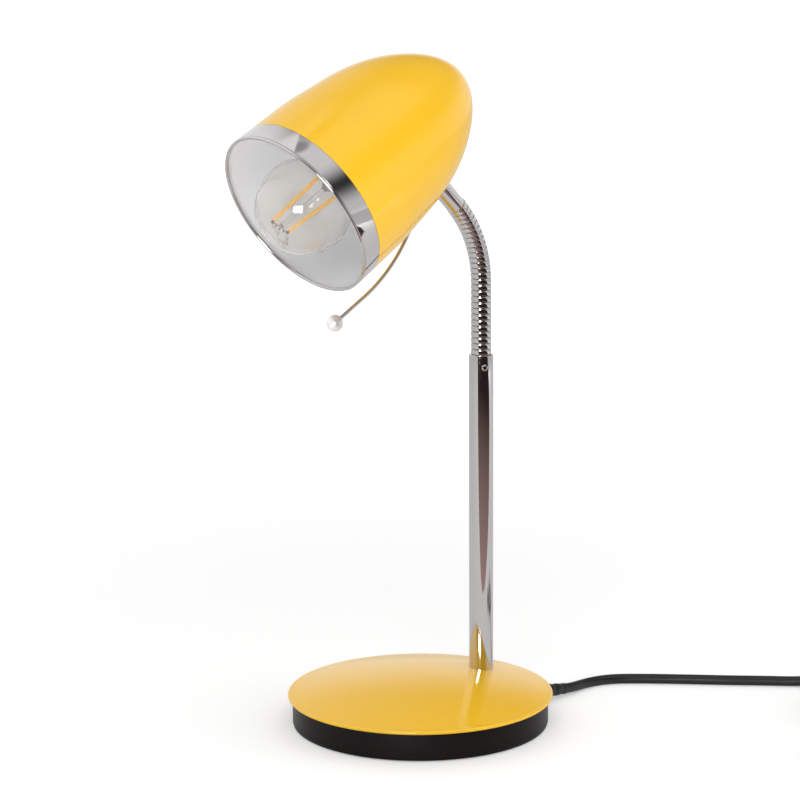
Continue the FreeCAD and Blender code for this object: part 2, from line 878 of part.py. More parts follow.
# The ferrule leaves the neck straight and meets the shade at its seat.
seat_point, _ = on_shade(float(at.shade_seat_station))
seat_local = Vector(0, seat_point.x, seat_point.z)
ferrule_reach = float(at.ferrule_length)
seat_world = neck_end.Base + out_of_neck * ferrule_reach
head = Placement(seat_world - shade_turn.multVec(seat_local), shade_turn)
to_head = head.inverse()

wall_inset = float(at.shade_wall)
band_inset = float(at.band_thickness)
band_width = float(at.band_width)
inner_curve = shade_curve(wall_inset)
shade_inner = spin(
    [
        line(Vector(), rim_point(0, wall_inset + band_inset)),
        line(rim_point(0, wall_inset + band_inset), rim_point(shoulder, wall_inset)),
        inner_curve.toShape(),
        line(Vector(0, 0, nose - wall_inset), Vector()),
    ]
)
shade_outer = spin(
    [
        line(Vector(), rim_point(0, band_inset)),
        line(rim_point(0, band_inset), rim_point(band_width, band_inset)),
        line(rim_point(band_width, band_inset), rim_point(band_width, 0)),
        line(rim_point(band_width, 0), rim_point(shoulder, 0)),
        outer_curve.toShape(),
        line(Vector(0, 0, nose), Vector()),
    ]
)
stud_bore = float(at.stud_diameter) / 2 + float(at.fit_gap)
way_in = to_head.Rotation.multVec(out_of_neck)
stud_hole = Part.makeCylinder(
    stud_bore, 2 * float(at.stud_reach), seat_local - way_in * float(at.stud_reach), way_in
)
wire_radius = float(at.handle_wire_diameter) / 2
wire_point, wire_out = on_shade(float(at.handle_station))
wire_root = Vector(0, wire_point.x, wire_point.z)
wire_way = Vector(0, wire_out.x, wire_out.z)
wire_hole = Part.makeCylinder(
    wire_radius + float(at.fit_gap),
    2 * float(at.handle_stud),
    wire_root - wire_way * float(at.handle_stud),
    wire_way,
)
shade_wall_solid = shade_outer.cut(shade_inner).cut(stud_hole).cut(wire_hole)
shaped("shade_shell", shade_wall_solid, head)

bead_radius = float(at.bead_diameter) / 2
bead = Part.makeTorus(rim_radius - bead_radius, bead_radius, Vector(), Z_AXIS)
band_strip = spin(
    [
        line(rim_point(0, band_inset), rim_point(0, 0)),
        line(rim_point(0, 0), rim_point(band_width, 0)),
        line(rim_point(band_width, 0), rim_point(band_width, band_inset)),
        line(rim_point(band_width, band_inset), rim_point(0, band_inset)),
    ]
)
shaped("shade_band", band_strip.fuse(bead).cut(shade_wall_solid).removeSplitter(), head)

# Ferrule, its stud and nut.

ferrule = Part.makeCylinder(float(at.ferrule_diameter) / 2, ferrule_reach + float(at.overrun))
seat_cutter = shade_outer.copy()
seat_cutter.Placement = neck_end.inverse() * head
stud = Part.makeCylinder(float(at.stud_diameter) / 2, ferrule_reach + float(at.stud_reach))
lead_bore = Part.makeCylinder(float(at.neck_bore) / 2, ferrule_reach + 2 * float(at.stud_reach))
shaped("head_ferrule", ferrule.cut(seat_cutter).fuse(stud).cut(lead_bore), neck_end)

# Bracket: one leg inside the wall at the ferrule, one across the axis behind the lampholder.

thick = float(at.bracket_thickness)
leg_reach = ferrule_reach + float(at.shade_wall) + float(at.bracket_sag)
nut_place = neck_end * Placement(Z_AXIS * (leg_reach + thick), Rotation())
holder_back = float(at.holder_mouth_station) + float(at.holder_length)
leg_start = seat_local + way_in * (leg_reach - ferrule_reach)
leg_way = Vector(0, way_in.z, -way_in.y)
if leg_way.z < 0:
    leg_way = -leg_way
corner_run = (holder_back + thick - leg_start.z) / leg_way.z
corner = leg_start + leg_way * corner_run
LEG_TAIL_SHARE = 0.6
leg_tail = leg_start - leg_way * (float(at.head_nut_across_flats) * LEG_TAIL_SHARE)
across_end = Vector(0, -float(at.holder_boss_diameter), holder_back + thick)


def bracket_chain(points, radius):
    """One face of the bent strip, as a line, an arc and a line."""
    path, _ = round_path(points, {1: radius})
    return path.OrderedEdges


inside_leg = way_in * thick
inner_corner_level = holder_back
inner_run = (inner_corner_level - (leg_start + inside_leg).z) / leg_way.z
inner_corner = leg_start + inside_leg + leg_way * inner_run
outer_face = bracket_chain([leg_tail, corner, across_end], float(at.bracket_bend) + thick)
inner_end = Vector(0, across_end.y, holder_back)
inner_face = bracket_chain(
    [leg_tail + inside_leg, inner_corner, inner_end], float(at.bracket_bend)
)
bracket_edges = outer_face + inner_face
bracket_edges.append(line(leg_tail, leg_tail + inside_leg))
bracket_edges.append(line(across_end, inner_end))
bracket_face = Part.Face(Part.Wire(Part.__sortEdges__(bracket_edges)))
bracket_half = float(at.bracket_width) / 2
bracket_face.translate(X_AXIS * -bracket_half)
bracket_strip = bracket_face.extrude(X_AXIS * (2 * bracket_half))
boss_hole = Part.makeCylinder(
    float(at.holder_boss_diameter) / 2 + float(at.fit_gap), nose, Vector(0, 0, 0), Z_AXIS
)
shaped("holder_bracket", bracket_strip.cut(stud_hole).cut(boss_hole), head)

washer_ring = Part.makeCylinder(float(at.head_washer_diameter) / 2, leg_reach)
washer_bore = Part.makeCylinder(stud_bore, leg_reach)
washer_zone = shade_inner.copy()
washer_zone.Placement = neck_end.inverse() * head
shaped("head_washer", washer_ring.cut(washer_bore).common(washer_zone), neck_end)

head_nut = prism("head_nut_solid", at.head_nut_across_flats, at.head_nut_thickness)
head_nut_bore = cylinder("head_nut_bore", at.stud_diameter / 2 + at.fit_gap, at.head_nut_thickness)
keep(cut("head_nut_part", head_nut, head_nut_bore), "head_nut", nut_place)

# Lampholder: shell, thread sleeve, contact and nut.

holder_mouth = at.holder_mouth_station
skirt_end = holder_mouth + at.holder_skirt_length
back = holder_mouth + at.holder_length
web_low = skirt_end - at.holder_web
holder_radius = at.holder_diameter / 2
sleeve_radius = at.cap_diameter / 2 + at.fit_gap + at.thread_sleeve_wall
cavity_radius = sleeve_radius + at.fit_gap
back_radius = at.holder_back_diameter / 2
boss_radius = at.holder_boss_diameter / 2
boss_end = back + at.bracket_thickness + at.holder_nut_thickness + at.loose_gap
turned(
    "holder_shell",
    [
        (cavity_radius, holder_mouth),
        (holder_radius, holder_mouth),
        (holder_radius, skirt_end),
        (back_radius, skirt_end),
        (back_radius, back),
        (boss_radius, back),
        (boss_radius, boss_end),
        (ZERO, boss_end),
        (ZERO, back - at.holder_wall),
        (back_radius - at.holder_wall, back - at.holder_wall),
        (back_radius - at.holder_wall, skirt_end),
        (ZERO, skirt_end),
        (ZERO, web_low),
        (cavity_radius, web_low),
    ],
    head,
)
turned(
    "holder_thread",
    [
        (sleeve_radius - at.thread_sleeve_wall, holder_mouth + at.overrun),
        (sleeve_radius, holder_mouth + at.overrun),
        (sleeve_radius, web_low),
        (sleeve_radius - at.thread_sleeve_wall, web_low),
    ],
    head,
)
cap_end = at.cap_start_station + at.cap_length
bulb_end = cap_end + at.cap_cone_length + at.bulb_tip_thickness
turned(
    "holder_contact",
    [
        (ZERO, bulb_end),
        (at.contact_diameter / 2, bulb_end),
        (at.contact_diameter / 2, web_low),
        (ZERO, web_low),
    ],
    head,
)
nut_z = back + at.bracket_thickness
holder_nut = prism("holder_nut_solid", at.holder_nut_across_flats, at.holder_nut_thickness)
holder_nut_bore = cylinder("holder_nut_bore", boss_radius + at.fit_gap, at.holder_nut_thickness)
holder_nut_place = head * Placement(Z_AXIS * float(nut_z), Rotation())
keep(cut("holder_nut_part", holder_nut, holder_nut_bore), "holder_nut", holder_nut_place)

# Leads inside the lamp: up the stem, and from the neck to the lampholder.

grommet_face = float(tray_radius + at.grommet_flange_thickness)
level = float(at.lead_exit_height)
stem_bottom = Vector(0, float(stem_offset), level)
TURN_IN_SHARE = 0.8
turn_in = exit_side * (grommet_face * TURN_IN_SHARE) + Z_AXIS * level
lead_points = [
    exit_side * grommet_face + Z_AXIS * level,
    turn_in,
    stem_bottom,
    neck_point(segment_ends(0)[1]),
]
stem_path, stem_radii = round_path(lead_points, {2: float(at.inner_lead_bend)})
print("stem_lead radii", stem_radii)
shaped("stem_lead", tube("stem_lead", stem_path, 2 * lead_radius))

holder_side = float(at.holder_back_diameter) / 2
lead_run = (seat_local.y - holder_side) / -way_in.y
head_lead_end = neck_end.Base + out_of_neck * (ferrule_reach + lead_run)
head_edges = neck_path(segment_ends(segments - 1)[0], neck_length)
head_edges.append(line(neck_end.Base, head_lead_end))
head_lead = tube("head_lead", Part.Wire(head_edges), 2 * lead_radius)
holder_block = Part.makeCylinder(holder_side, holder_back)
holder_block.Placement = head
shaped("head_lead", head_lead.cut(holder_block))

# Bulb: glass, cap, contact, glass stem, filaments and their wires.

ball_radius = float(at.bulb_diameter) / 2
ball_centre = Vector(0, 0, float(at.bulb_centre_station))
neck_glass = float(at.bulb_neck_diameter) / 2
neck_round = float(at.bulb_neck_round)
glass_end = float(at.bulb_glass_end)


def bulb_outline(inset):
    """The glass outline: a ball that runs through a hollow curve into a straight neck."""
    ball = ball_radius - inset
    hollow = neck_round + inset
    waist = neck_glass - inset
    rise = math.sqrt((ball + hollow) ** 2 - (waist + hollow) ** 2)
    hollow_centre = ball_centre + Vector(waist + hollow, 0, rise)
    meet = math.atan2(rise, waist + hollow)
    tip = polar(ball_centre, ball, -math.pi / 2)
    joint = polar(ball_centre, ball, meet)
    waist_point = hollow_centre - X_AXIS * hollow
    mouth = Vector(waist, 0, glass_end)
    return tip, mouth, [
        arc(tip, polar(ball_centre, ball, (meet - math.pi / 2) / 2), joint),
        arc(joint, polar(hollow_centre, hollow, (meet + math.pi + math.pi) / 2), waist_point),
        line(waist_point, mouth),
    ]


glass_wall = float(at.bulb_glass_wall)
tip_out, mouth_out, glass_out = bulb_outline(0)
tip_in, mouth_in, glass_in = bulb_outline(glass_wall)
glass = spin(glass_out + glass_in + [line(mouth_out, mouth_in), line(tip_in, tip_out)])
shaped("bulb_glass", glass, head)

cap_radius = at.cap_diameter / 2
tip_radius = at.bulb_tip_diameter / 2
turned(
    "bulb_cap",
    [
        (cap_radius - at.cap_wall, at.cap_start_station),
        (cap_radius, at.cap_start_station),
        (cap_radius, cap_end),
        (tip_radius, cap_end + at.cap_cone_length),
        (ZERO, cap_end + at.cap_cone_length),
        (ZERO, cap_end + at.cap_cone_length - at.cap_wall),
        (tip_radius - at.cap_wall, cap_end + at.cap_cone_length - at.cap_wall),
        (cap_radius - at.cap_wall, cap_end - at.cap_wall),
    ],
    head,
)
turned(
    "bulb_contact",
    [
        (ZERO, cap_end + at.cap_cone_length),
        (tip_radius, cap_end + at.cap_cone_length),
        (tip_radius / 2, bulb_end),
        (ZERO, bulb_end),
    ],
    head,
)
stem_glass = at.glass_stem_diameter / 2
rod_glass = at.glass_rod_diameter / 2
flare = at.bulb_neck_diameter / 2 - at.bulb_glass_wall - at.fit_gap
turned(
    "bulb_glass_stem",
    [
        (ZERO, at.glass_rod_station),
        (rod_glass, at.glass_rod_station),
        (rod_glass, at.glass_stem_station - at.glass_rod_diameter),
        (stem_glass, at.glass_stem_station),
        (stem_glass, at.bulb_glass_end - at.glass_stem_flare_length * 2),
        (flare, at.bulb_glass_end - at.glass_stem_flare_length),
        (flare, at.bulb_glass_end),
        (ZERO, at.bulb_glass_end),
    ],
    head,
)
tips, backs = [], []
for side in (1, -1):
    tips.append(
        Vector(
            side * float(at.filament_tip_side),
            side * float(at.filament_tip_drop),
            float(at.filament_tip_station),
        )
    )
    backs.append(
        Vector(
            side * float(at.filament_back_side),
            side * float(at.filament_back_drop),
            float(at.filament_back_station),
        )
    )
filaments = [
    Part.makeCylinder(
        float(at.filament_diameter) / 2, (behind - ahead).Length, ahead, behind - ahead
    )
    for ahead, behind in zip(tips, backs)
]
shaped("bulb_filaments", Part.makeCompound(filaments), head)

bulb_wire = float(at.bulb_lead_diameter)
past_end = Z_AXIS * (bulb_wire / 2 + float(at.bulb_lead_gap))
tip_run = tips[1] - tips[0]
wires = [Part.makeCylinder(bulb_wire / 2, tip_run.Length, tips[0] - past_end, tip_run)]
for behind in backs:
    inward = Vector(-behind.x, -behind.y, 0).normalize()
    run = math.hypot(behind.x, behind.y) - float(stem_glass)
    wires.append(Part.makeCylinder(bulb_wire / 2, run, behind + past_end, inward))
shaped("bulb_leads", Part.makeCompound(wires), head)

# Handle: a bowed wire with a ball, screwed through the shade's wall.

bow_radius = float(at.handle_bow_radius)
root_radius = float(at.handle_root_bend)
bow = angle("handle_bow_angle")
start_angle = math.atan2(wire_way.y, wire_way.z)
root_turn = math.pi - start_angle - bow


def heading(turn):
    """A direction in the shade's middle plane, turned from straight back towards straight down."""
    return Vector(0, math.sin(turn), math.cos(turn))


def swung(start, first, turn, radius):
    """The middle and end of an arc that leaves a point in a heading and turns towards the mouth."""
    centre = start + heading(first + math.pi / 2) * radius
    middle = centre - heading(first + turn / 2 + math.pi / 2) * radius
    return middle, centre - heading(first + turn + math.pi / 2) * radius


inner_end_point = wire_root - wire_way * float(at.handle_stud)
stand_end = wire_root + wire_way * float(at.handle_stand)
root_middle, root_end = swung(stand_end, start_angle, root_turn, root_radius)
bow_middle, bow_end = swung(root_end, start_angle + root_turn, bow, bow_radius)
ball_middle = bow_end - Z_AXIS * float(at.handle_run)
ball_size = float(at.handle_ball_diameter) / 2
wire_end = ball_middle + Z_AXIS * wire_radius
handle_path = Part.Wire(
    [
        line(inner_end_point, stand_end),
        arc(stand_end, root_middle, root_end),
        arc(root_end, bow_middle, bow_end),
        line(bow_end, wire_end),
    ]
)
shaped("handle_wire", tube("handle_wire", handle_path, 2 * wire_radius), head)
ball = Part.makeSphere(ball_size, ball_middle)
ball_bore = Part.makeCylinder(
    wire_radius + float(at.fit_gap), 2 * ball_size, ball_middle + Z_AXIS * wire_radius, Z_AXIS
)
shaped("handle_ball", ball.cut(ball_bore), head)
handle_nut = prism("handle_nut_solid", at.handle_nut_across_flats, at.handle_nut_thickness)
handle_nut_bore = cylinder(
    "handle_nut_bore", at.handle_wire_diameter / 2 + at.fit_gap, at.handle_nut_thickness
)
nut_seat = wire_root - wire_way * (wall_inset + float(at.loose_gap))
handle_nut_place = head * Placement(nut_seat, Rotation(Z_AXIS, -wire_way))
keep(cut("handle_nut_part", handle_nut, handle_nut_bore), "handle_nut", handle_nut_place)

# Grommet where the lead leaves the tray.

grommet_turn = Rotation(Z_AXIS, exit_side)
grommet_place = Placement(Vector(0, 0, level), grommet_turn)
tray_inside = tray_radius - at.tray_wall
grommet_bore = at.inner_lead_diameter / 2 + at.fit_gap
flange_radius = at.grommet_flange_diameter / 2
neck_radius = at.grommet_diameter / 2
turned(
    "cord_grommet",
    [
        (grommet_bore, tray_inside - at.tray_wall),
        (neck_radius, tray_inside - at.tray_wall),
        (neck_radius, tray_radius),
        (flange_radius, tray_radius),
        (neck_radius + at.fit_gap, tray_radius + at.grommet_flange_thickness),
        (grommet_bore, tray_radius + at.grommet_flange_thickness),
    ],
    grommet_place,
)

# Outside lead: free runs, and the put-away length as a tied coil in two layers.

lead = float(at.lead_diameter)
lead_start = exit_side * grommet_face + Z_AXIS * level
seam = at.switch_base_height
switch_way = Vector(math.cos(angle("switch_heading")), math.sin(angle("switch_heading")), 0)
approach = Vector(*SWITCH_APPROACH, float(seam))
switch_tunnel = float(at.switch_tunnel)
free_end = approach + switch_way * (switch_tunnel + lead)
free_points = [lead_start, lead_start + exit_side * (2 * lead)]
free_points += [Vector(*point) for point in LEAD_TO_SWITCH] + [approach, free_end]
free_path, free_radii = round_path(free_points)
print("cord_free radii", free_radii)
shaped("cord_free", tube("cord_free", free_path, lead))

pitch = lead + float(at.coil_turn_gap)
tie_gap = float(at.loose_gap)
tie_thick = float(at.tie_thickness)
outer_turn = float(at.coil_mean_diameter) / 2 + pitch
low_level = lead / 2 + tie_thick + tie_gap
coil_start = Vector(*COIL_START, low_level)
turns_in = count("coil_half_turns_in")
turns_out = count("coil_half_turns_out")


def quarter(end, meet, way):
    """An arc that touches an end along Y and passes through a meeting point."""
    chord = meet - end
    across = chord - way * chord.dot(way)
    radius = chord.Length**2 / (2 * across.Length)
    centre = end + across.normalize() * radius
    bisector = ((end - centre) + (meet - centre)).normalize()
    return centre + bisector * radius


def half_turn(start, side, radius, climb):
    """Half a turn clockwise, as two arcs. Side is 1 where it starts on the coil's right."""
    end = start - X_AXIS * (2 * radius * side) + Z_AXIS * climb
    bulge = math.sqrt(radius**2 + climb**2 / 4)
    meet = (start + end) / 2 - Y_AXIS * (bulge * side)
    way = Y_AXIS * -side
    first = arc(start, quarter(start, meet, way), meet)
    second = arc(meet, quarter(end, meet, way), end)
    return [first, second], end


coil_edges = [line(coil_start + Y_AXIS * float(at.coil_end_run), coil_start)]
place_now, radius_now, side_now = coil_start, outer_turn, 1
for number in range(turns_in + 1 + turns_out):
    climb = pitch if number == turns_in else 0
    arcs, place_now = half_turn(place_now, side_now, radius_now, climb)
    coil_edges += arcs
    side_now = -side_now
    widest = radius_now
    radius_now += pitch / 2 if number >= turns_in else -pitch / 2
coil_end = place_now - Y_AXIS * (float(at.coil_end_run) * side_now)
coil_edges.append(line(place_now, coil_end))
coil_path = Part.Wire(coil_edges)
shaped("cord_coil", tube("cord_coil", coil_path, lead))


def least_gap(path, diameter):
    """The least gap of a tube to itself, between points more than a loop's bend apart along it."""
    steps = int(path.Length / (diameter / 3))
    points = path.discretize(Number=steps)
    apart = int(steps * 2 * math.pi * diameter / path.Length)
    least = min(
        (points[a] - points[b]).Length for a in range(steps) for b in range(a + apart, steps)
    )
    return least - diameter


print(f"cord_coil least gap to itself {least_gap(coil_path, lead):.2f}")

strands = math.ceil(turns_out / 2)
tie_half = float(at.tie_width) / 2
tie_low = Vector(place_now.x - 2 * widest - lead / 2 - tie_gap, place_now.y - tie_half, tie_thick)
tie_span = strands * pitch + lead + 2 * tie_gap
tie_rise = pitch + lead + 2 * tie_gap
skin = Vector(tie_thick, 0, tie_thick)
tie_out = Part.makeBox(
    tie_span + 2 * tie_thick, 2 * tie_half, tie_rise + 2 * tie_thick, tie_low - skin
)
shaped("cord_tie", tie_out.cut(Part.makeBox(tie_span, 2 * tie_half, tie_rise, tie_low)))

# Switch on the lead: two case halves and a rocker that turns on its own pins.

switch_near = free_end - switch_way * switch_tunnel
switch_far = switch_near + switch_way * float(at.switch_length)
switch_mid = (switch_near + switch_far) / 2
switch_turn = Rotation(X_AXIS, switch_way)
switch_place = Placement(Vector(switch_mid.x, switch_mid.y, 0), switch_turn)
room_length = at.switch_length - at.switch_tunnel * 2
room_width = at.switch_width - at.switch_side_wall * 2


def case_half(label, low, height, rim_level):
    """A rectangle padded up, with its corners and one rim rounded."""
    body = new_body(label + "_body")
    outline = new_sketch(body, "XY_Plane", low)
    draw_rectangle(outline, at.switch_length, at.switch_width)
    block = pad(body, outline, height)
    doc.recompute()
    corners = body.newObject("PartDesign::Fillet", label + "_corners")
    corners.Base = (block, [name for name, box in edge_boxes(block) if box.ZLength > tiny])
    corners.setExpression("Radius", at.switch_corner.text)
    doc.recompute()
    rim = [
        name
        for name, box in edge_boxes(corners)
        if box.ZLength < tiny and abs(box.ZMin - rim_level) < tiny
    ]
    edge_round = body.newObject("PartDesign::Fillet", label + "_round")
    edge_round.Base = (corners, rim)
    edge_round.setExpression("Radius", at.switch_edge_round.text)
    doc.recompute()
    return body


def edge_boxes(feature):
    """Each edge of a feature as its name and its box."""
    edges = enumerate(feature.Shape.Edges, start=1)
    return [(f"Edge{number}", edge.BoundBox) for number, edge in edges]


def sink(body, low, depth, length, width):
    """A rectangular hollow cut upwards from a level."""
    sketch = new_sketch(body, "XY_Plane", low)
    draw_rectangle(sketch, length, width)
    must_cut(body, pocket(body, sketch, depth, True))


def bore_along(body):
    """The lead's way into the case, at both ends."""
    sketch = new_sketch(body, "YZ_Plane", -(at.switch_length / 2))
    draw_circle(sketch, ZERO, seam, at.lead_diameter / 2 + at.fit_gap)
    must_cut(body, pocket(body, sketch, at.switch_length, True))


tiny = float(at.fit_gap) / 2
switch_base = case_half("switch_base", ZERO, seam, 0)
sink(switch_base, at.switch_floor, seam - at.switch_floor, room_length, room_width)
bore_along(switch_base)
keep(switch_base, "switch_base", switch_place)

switch_top = seam + at.switch_cover_height
switch_cover = case_half("switch_cover", seam, at.switch_cover_height, float(switch_top))
sink(switch_cover, seam, at.switch_room_height, room_length, room_width)
bore_along(switch_cover)
window_length = at.rocker_length + at.loose_gap * 2
window_width = at.rocker_width + at.loose_gap * 2
sink(switch_cover, seam, at.switch_cover_height, window_length, window_width)
pin_height = seam + at.rocker_pin_height
pin_span = window_width + (at.rocker_pin_reach + at.loose_gap) * 2
pin_sketch = new_sketch(switch_cover, "XZ_Plane", pin_span / 2)
draw_circle(pin_sketch, ZERO, pin_height, at.rocker_pin_diameter / 2 + at.fit_gap)
must_cut(switch_cover, pocket(switch_cover, pin_sketch, pin_span, False))
keep(switch_cover, "switch_cover", switch_place)

swing = float(at.rocker_length) / 2
above = float(at.rocker_above_pin)
below = float(at.rocker_below_pin)
dish_low = Vector(0, 0, above - float(at.rocker_dish))
right_top = Vector(math.sqrt(swing**2 - above**2), 0, above)
left_top = Vector(-right_top.x, 0, above)
right_low = Vector(math.sqrt(swing**2 - below**2), 0, -below)
left_low = Vector(-right_low.x, 0, -below)
rocker_face = Part.Face(
    Part.Wire(
        [
            arc(left_top, dish_low, right_top),
            arc(right_top, Vector(swing, 0, 0), right_low),
            line(right_low, left_low),
            arc(left_low, Vector(-swing, 0, 0), left_top),
        ]
    )
)
rocker_half = float(at.rocker_width) / 2
rocker_face.translate(Y_AXIS * -rocker_half)
rocker_block = rocker_face.extrude(Y_AXIS * (2 * rocker_half))
pin_reach = rocker_half + float(at.loose_gap + at.rocker_pin_reach)
rocker_pin = Part.makeCylinder(
    float(at.rocker_pin_diameter) / 2, 2 * pin_reach, Y_AXIS * -pin_reach, Y_AXIS
)
rest_turn = Rotation(Y_AXIS, -math.degrees(angle("rocker_rest_angle")))
rocker_place = switch_place * Placement(Z_AXIS * float(pin_height), rest_turn)
shaped("switch_rocker", rocker_block.fuse(rocker_pin), rocker_place)
print("rocker pin at", rocker_place.Base, "along", switch_turn.multVec(Y_AXIS))

# Lead from the switch to the coil, and from the coil to the plug.

link_start = switch_far - switch_way * switch_tunnel
first_bend = switch_far + switch_way * (switch_tunnel * 2)
link_points = [link_start, first_bend]
link_points += [Vector(x, y, low_level) for x, y in LEAD_TO_COIL]
link_points.append(coil_start + Y_AXIS * float(at.coil_end_run))
link_path, link_radii = round_path(link_points)
print("cord_link radii", link_radii)
shaped("cord_link", tube("cord_link", link_path, lead))

plug_half = at.plug_height / 2
plug_entry = Vector(*PLUG_ENTRY, float(plug_half))
plug_points = [coil_end]
for (x, y), height in zip(LEAD_TO_PLUG, (coil_end.z, plug_entry.z)):
    plug_points.append(Vector(x, y, height))
plug_points.append(plug_entry)
plug_path, plug_radii = round_path(plug_points)
print("cord_plug_lead radii", plug_radii)
shaped("cord_plug_lead", tube("cord_plug_lead", plug_path, lead))

# Plug: a flat moulded body and two pins.

plug_way = Vector(plug_entry.x - plug_points[-2].x, plug_entry.y - plug_points[-2].y, 0)
plug_place = Placement(plug_entry, Rotation(X_AXIS, plug_way.normalize()))
plug_body = new_body("plug_body_body")
plug_sketch = new_sketch(plug_body, "XY_Plane", -plug_half)
neck_half = at.plug_neck_width / 2
face_half = at.plug_face_width / 2
PLUG_SHARES = [(0.0, 0.0), (0.30, 0.10), (0.58, 0.55), (0.80, 1.0), (1.0, 1.0)]
flank = [
    (at.plug_length * along, neck_half + (face_half - neck_half) * across)
    for along, across in PLUG_SHARES
]
draw_outline(plug_sketch, [(x, -y) for x, y in flank] + [(x, y) for x, y in reversed(flank)])
plug_block = pad(plug_body, plug_sketch, at.plug_height)
doc.recompute()
plug_edges = [
    name
    for name, box in edge_boxes(plug_block)
    if box.ZLength < tiny and not box.XMin > float(at.plug_length) - tiny
]
plug_round = plug_body.newObject("PartDesign::Fillet", "plug_round")
plug_round.Base = (plug_block, plug_edges)
plug_round.setExpression("Radius", at.plug_edge_round.text)
doc.recompute()
pin_root = at.pin_root_diameter / 2
for side in (1, -1):
    pin_hole = new_sketch(plug_body, "YZ_Plane", at.plug_length - at.pin_root_length)
    draw_circle(pin_hole, at.pin_spacing / 2 * side, ZERO, pin_root + at.fit_gap)
    must_cut(plug_body, pocket(plug_body, pin_hole, at.pin_root_length, True))
keep(plug_body, "plug_body", plug_place)

pin_radius = at.pin_diameter / 2
pins = []
for side in (1, -1):
    pin = turned_body(
        "plug_pin_right" if side > 0 else "plug_pin_left",
        [
            (ZERO, -at.pin_root_length),
            (pin_root, -at.pin_root_length),
            (pin_root, ZERO),
            (pin_radius, ZERO),
            (pin_radius, at.pin_length - at.pin_tip),
            (pin_radius - at.pin_tip / 2, at.pin_length),
            (ZERO, at.pin_length),
        ],
    )
    pin_foot = Vector(float(at.plug_length), side * float(at.pin_spacing) / 2, 0)
    pin.Placement = Placement(pin_foot, Rotation(Z_AXIS, X_AXIS))
    pins.append(pin)
plug_pins = doc.addObject("Part::Compound", "plug_pins_part")
plug_pins.Links = pins
keep(plug_pins, "plug_pins", plug_place)

# Checks, then one file for each sub-part.

doc.recompute()
for item in doc.Objects:
    if "Invalid" in item.State or "Error" in item.State:
        raise RuntimeError(f"{item.Name} is {item.State}")
os.makedirs("parts", exist_ok=True)
for part in sub_parts:
    shape = part.Shape
    if shape.isNull() or not shape.isValid() or not shape.Solids:
        raise RuntimeError(f"{part.Label} is not a sound solid")
    shape.exportStep(f"parts/{part.Label}.step")
print(len(sub_parts), "sub-parts, mouth centre", head.Base)
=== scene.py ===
"""The looks of a desk lamp: domed base, tube stem, ribbed neck, bullet-shaped shade, bulb and lead.

Lengths are in metres and angles in radians, unless a line says otherwise.
"""

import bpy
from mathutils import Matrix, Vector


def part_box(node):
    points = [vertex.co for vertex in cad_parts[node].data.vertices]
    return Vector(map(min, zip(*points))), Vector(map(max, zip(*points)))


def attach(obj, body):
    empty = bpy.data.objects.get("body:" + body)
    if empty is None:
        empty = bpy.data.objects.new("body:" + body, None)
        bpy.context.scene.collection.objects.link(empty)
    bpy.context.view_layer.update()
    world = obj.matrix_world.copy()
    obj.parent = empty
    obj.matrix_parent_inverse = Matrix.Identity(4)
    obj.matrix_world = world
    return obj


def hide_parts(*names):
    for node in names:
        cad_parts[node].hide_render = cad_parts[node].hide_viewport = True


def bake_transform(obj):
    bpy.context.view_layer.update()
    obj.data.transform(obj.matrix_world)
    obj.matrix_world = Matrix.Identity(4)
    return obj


bl_info = {
    "name": "Desk lamp",
    "version": (1, 0, 0),
    "blender": (4, 5, 0),
    "location": "3D View > Sidebar > Desk lamp",
    "description": "Builds a desk lamp with a bendable neck and a bullet-shaped shade",
    "category": "Add Mesh",
}

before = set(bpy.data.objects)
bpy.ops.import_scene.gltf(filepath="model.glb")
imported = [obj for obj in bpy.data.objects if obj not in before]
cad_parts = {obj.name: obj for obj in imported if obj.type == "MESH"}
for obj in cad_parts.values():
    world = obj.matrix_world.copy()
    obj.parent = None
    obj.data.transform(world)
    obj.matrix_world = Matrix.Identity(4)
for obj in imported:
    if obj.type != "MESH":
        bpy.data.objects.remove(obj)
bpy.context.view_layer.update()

import math

import bmesh
import bpy
import numpy as np
from bpy.props import FloatProperty, FloatVectorProperty, IntProperty, PointerProperty
from bpy.types import Operator, Panel, PropertyGroup
from mathutils import Matrix, Vector

MM = 0.001
ROUND = 128
MOUTH_ROUND = 160
SMALL_ROUND = 48
EDGE = 0.0003
FINE_EDGE = 0.0001

# The lead's route on the desk, given in millimetres.
LEAD_OUT = MM * np.array([
    (16.6, 86.5, 3.3), (13.8, 101.0, 2.5), (17.0, 114.5, 2.5), (27.8, 127.3, 2.5),
    (45.0, 144.5, 2.5), (58.5, 157.3, 2.5), (71.0, 170.3, 2.5), (85.3, 184.0, 2.5),
    (93.0, 191.2, 4.2),
])
LEAD_TO_COIL = MM * np.array([(164.5, 243.1), (182.0, 235.7), (192.5, 219.9), (193.4, 202.5)])
COIL_START = MM * np.array([193.4, 180.5])
LEAD_TO_PLUG = MM * np.array([(193.4, 166.0), (192.8, 157.0)])
PLUG_ENTRY = MM * np.array([191.5, 148.5])

# Where the white table ends, as chrome shows it: degrees from the front, metres from the stem.
FRONT_TURN = -40.9
ROOM_EDGE = (
    (11.0, 0.218), (35.0, 0.235), (52.0, 0.29), (68.0, 0.37), (79.0, 0.48), (84.0, 0.70),
    (78.0, 0.95), (62.0, 1.8), (40.0, 7.0), (-33.0, 7.0), (-31.0, 0.75), (-24.0, 0.48),
    (-15.0, 0.34), (-5.0, 0.26),
)

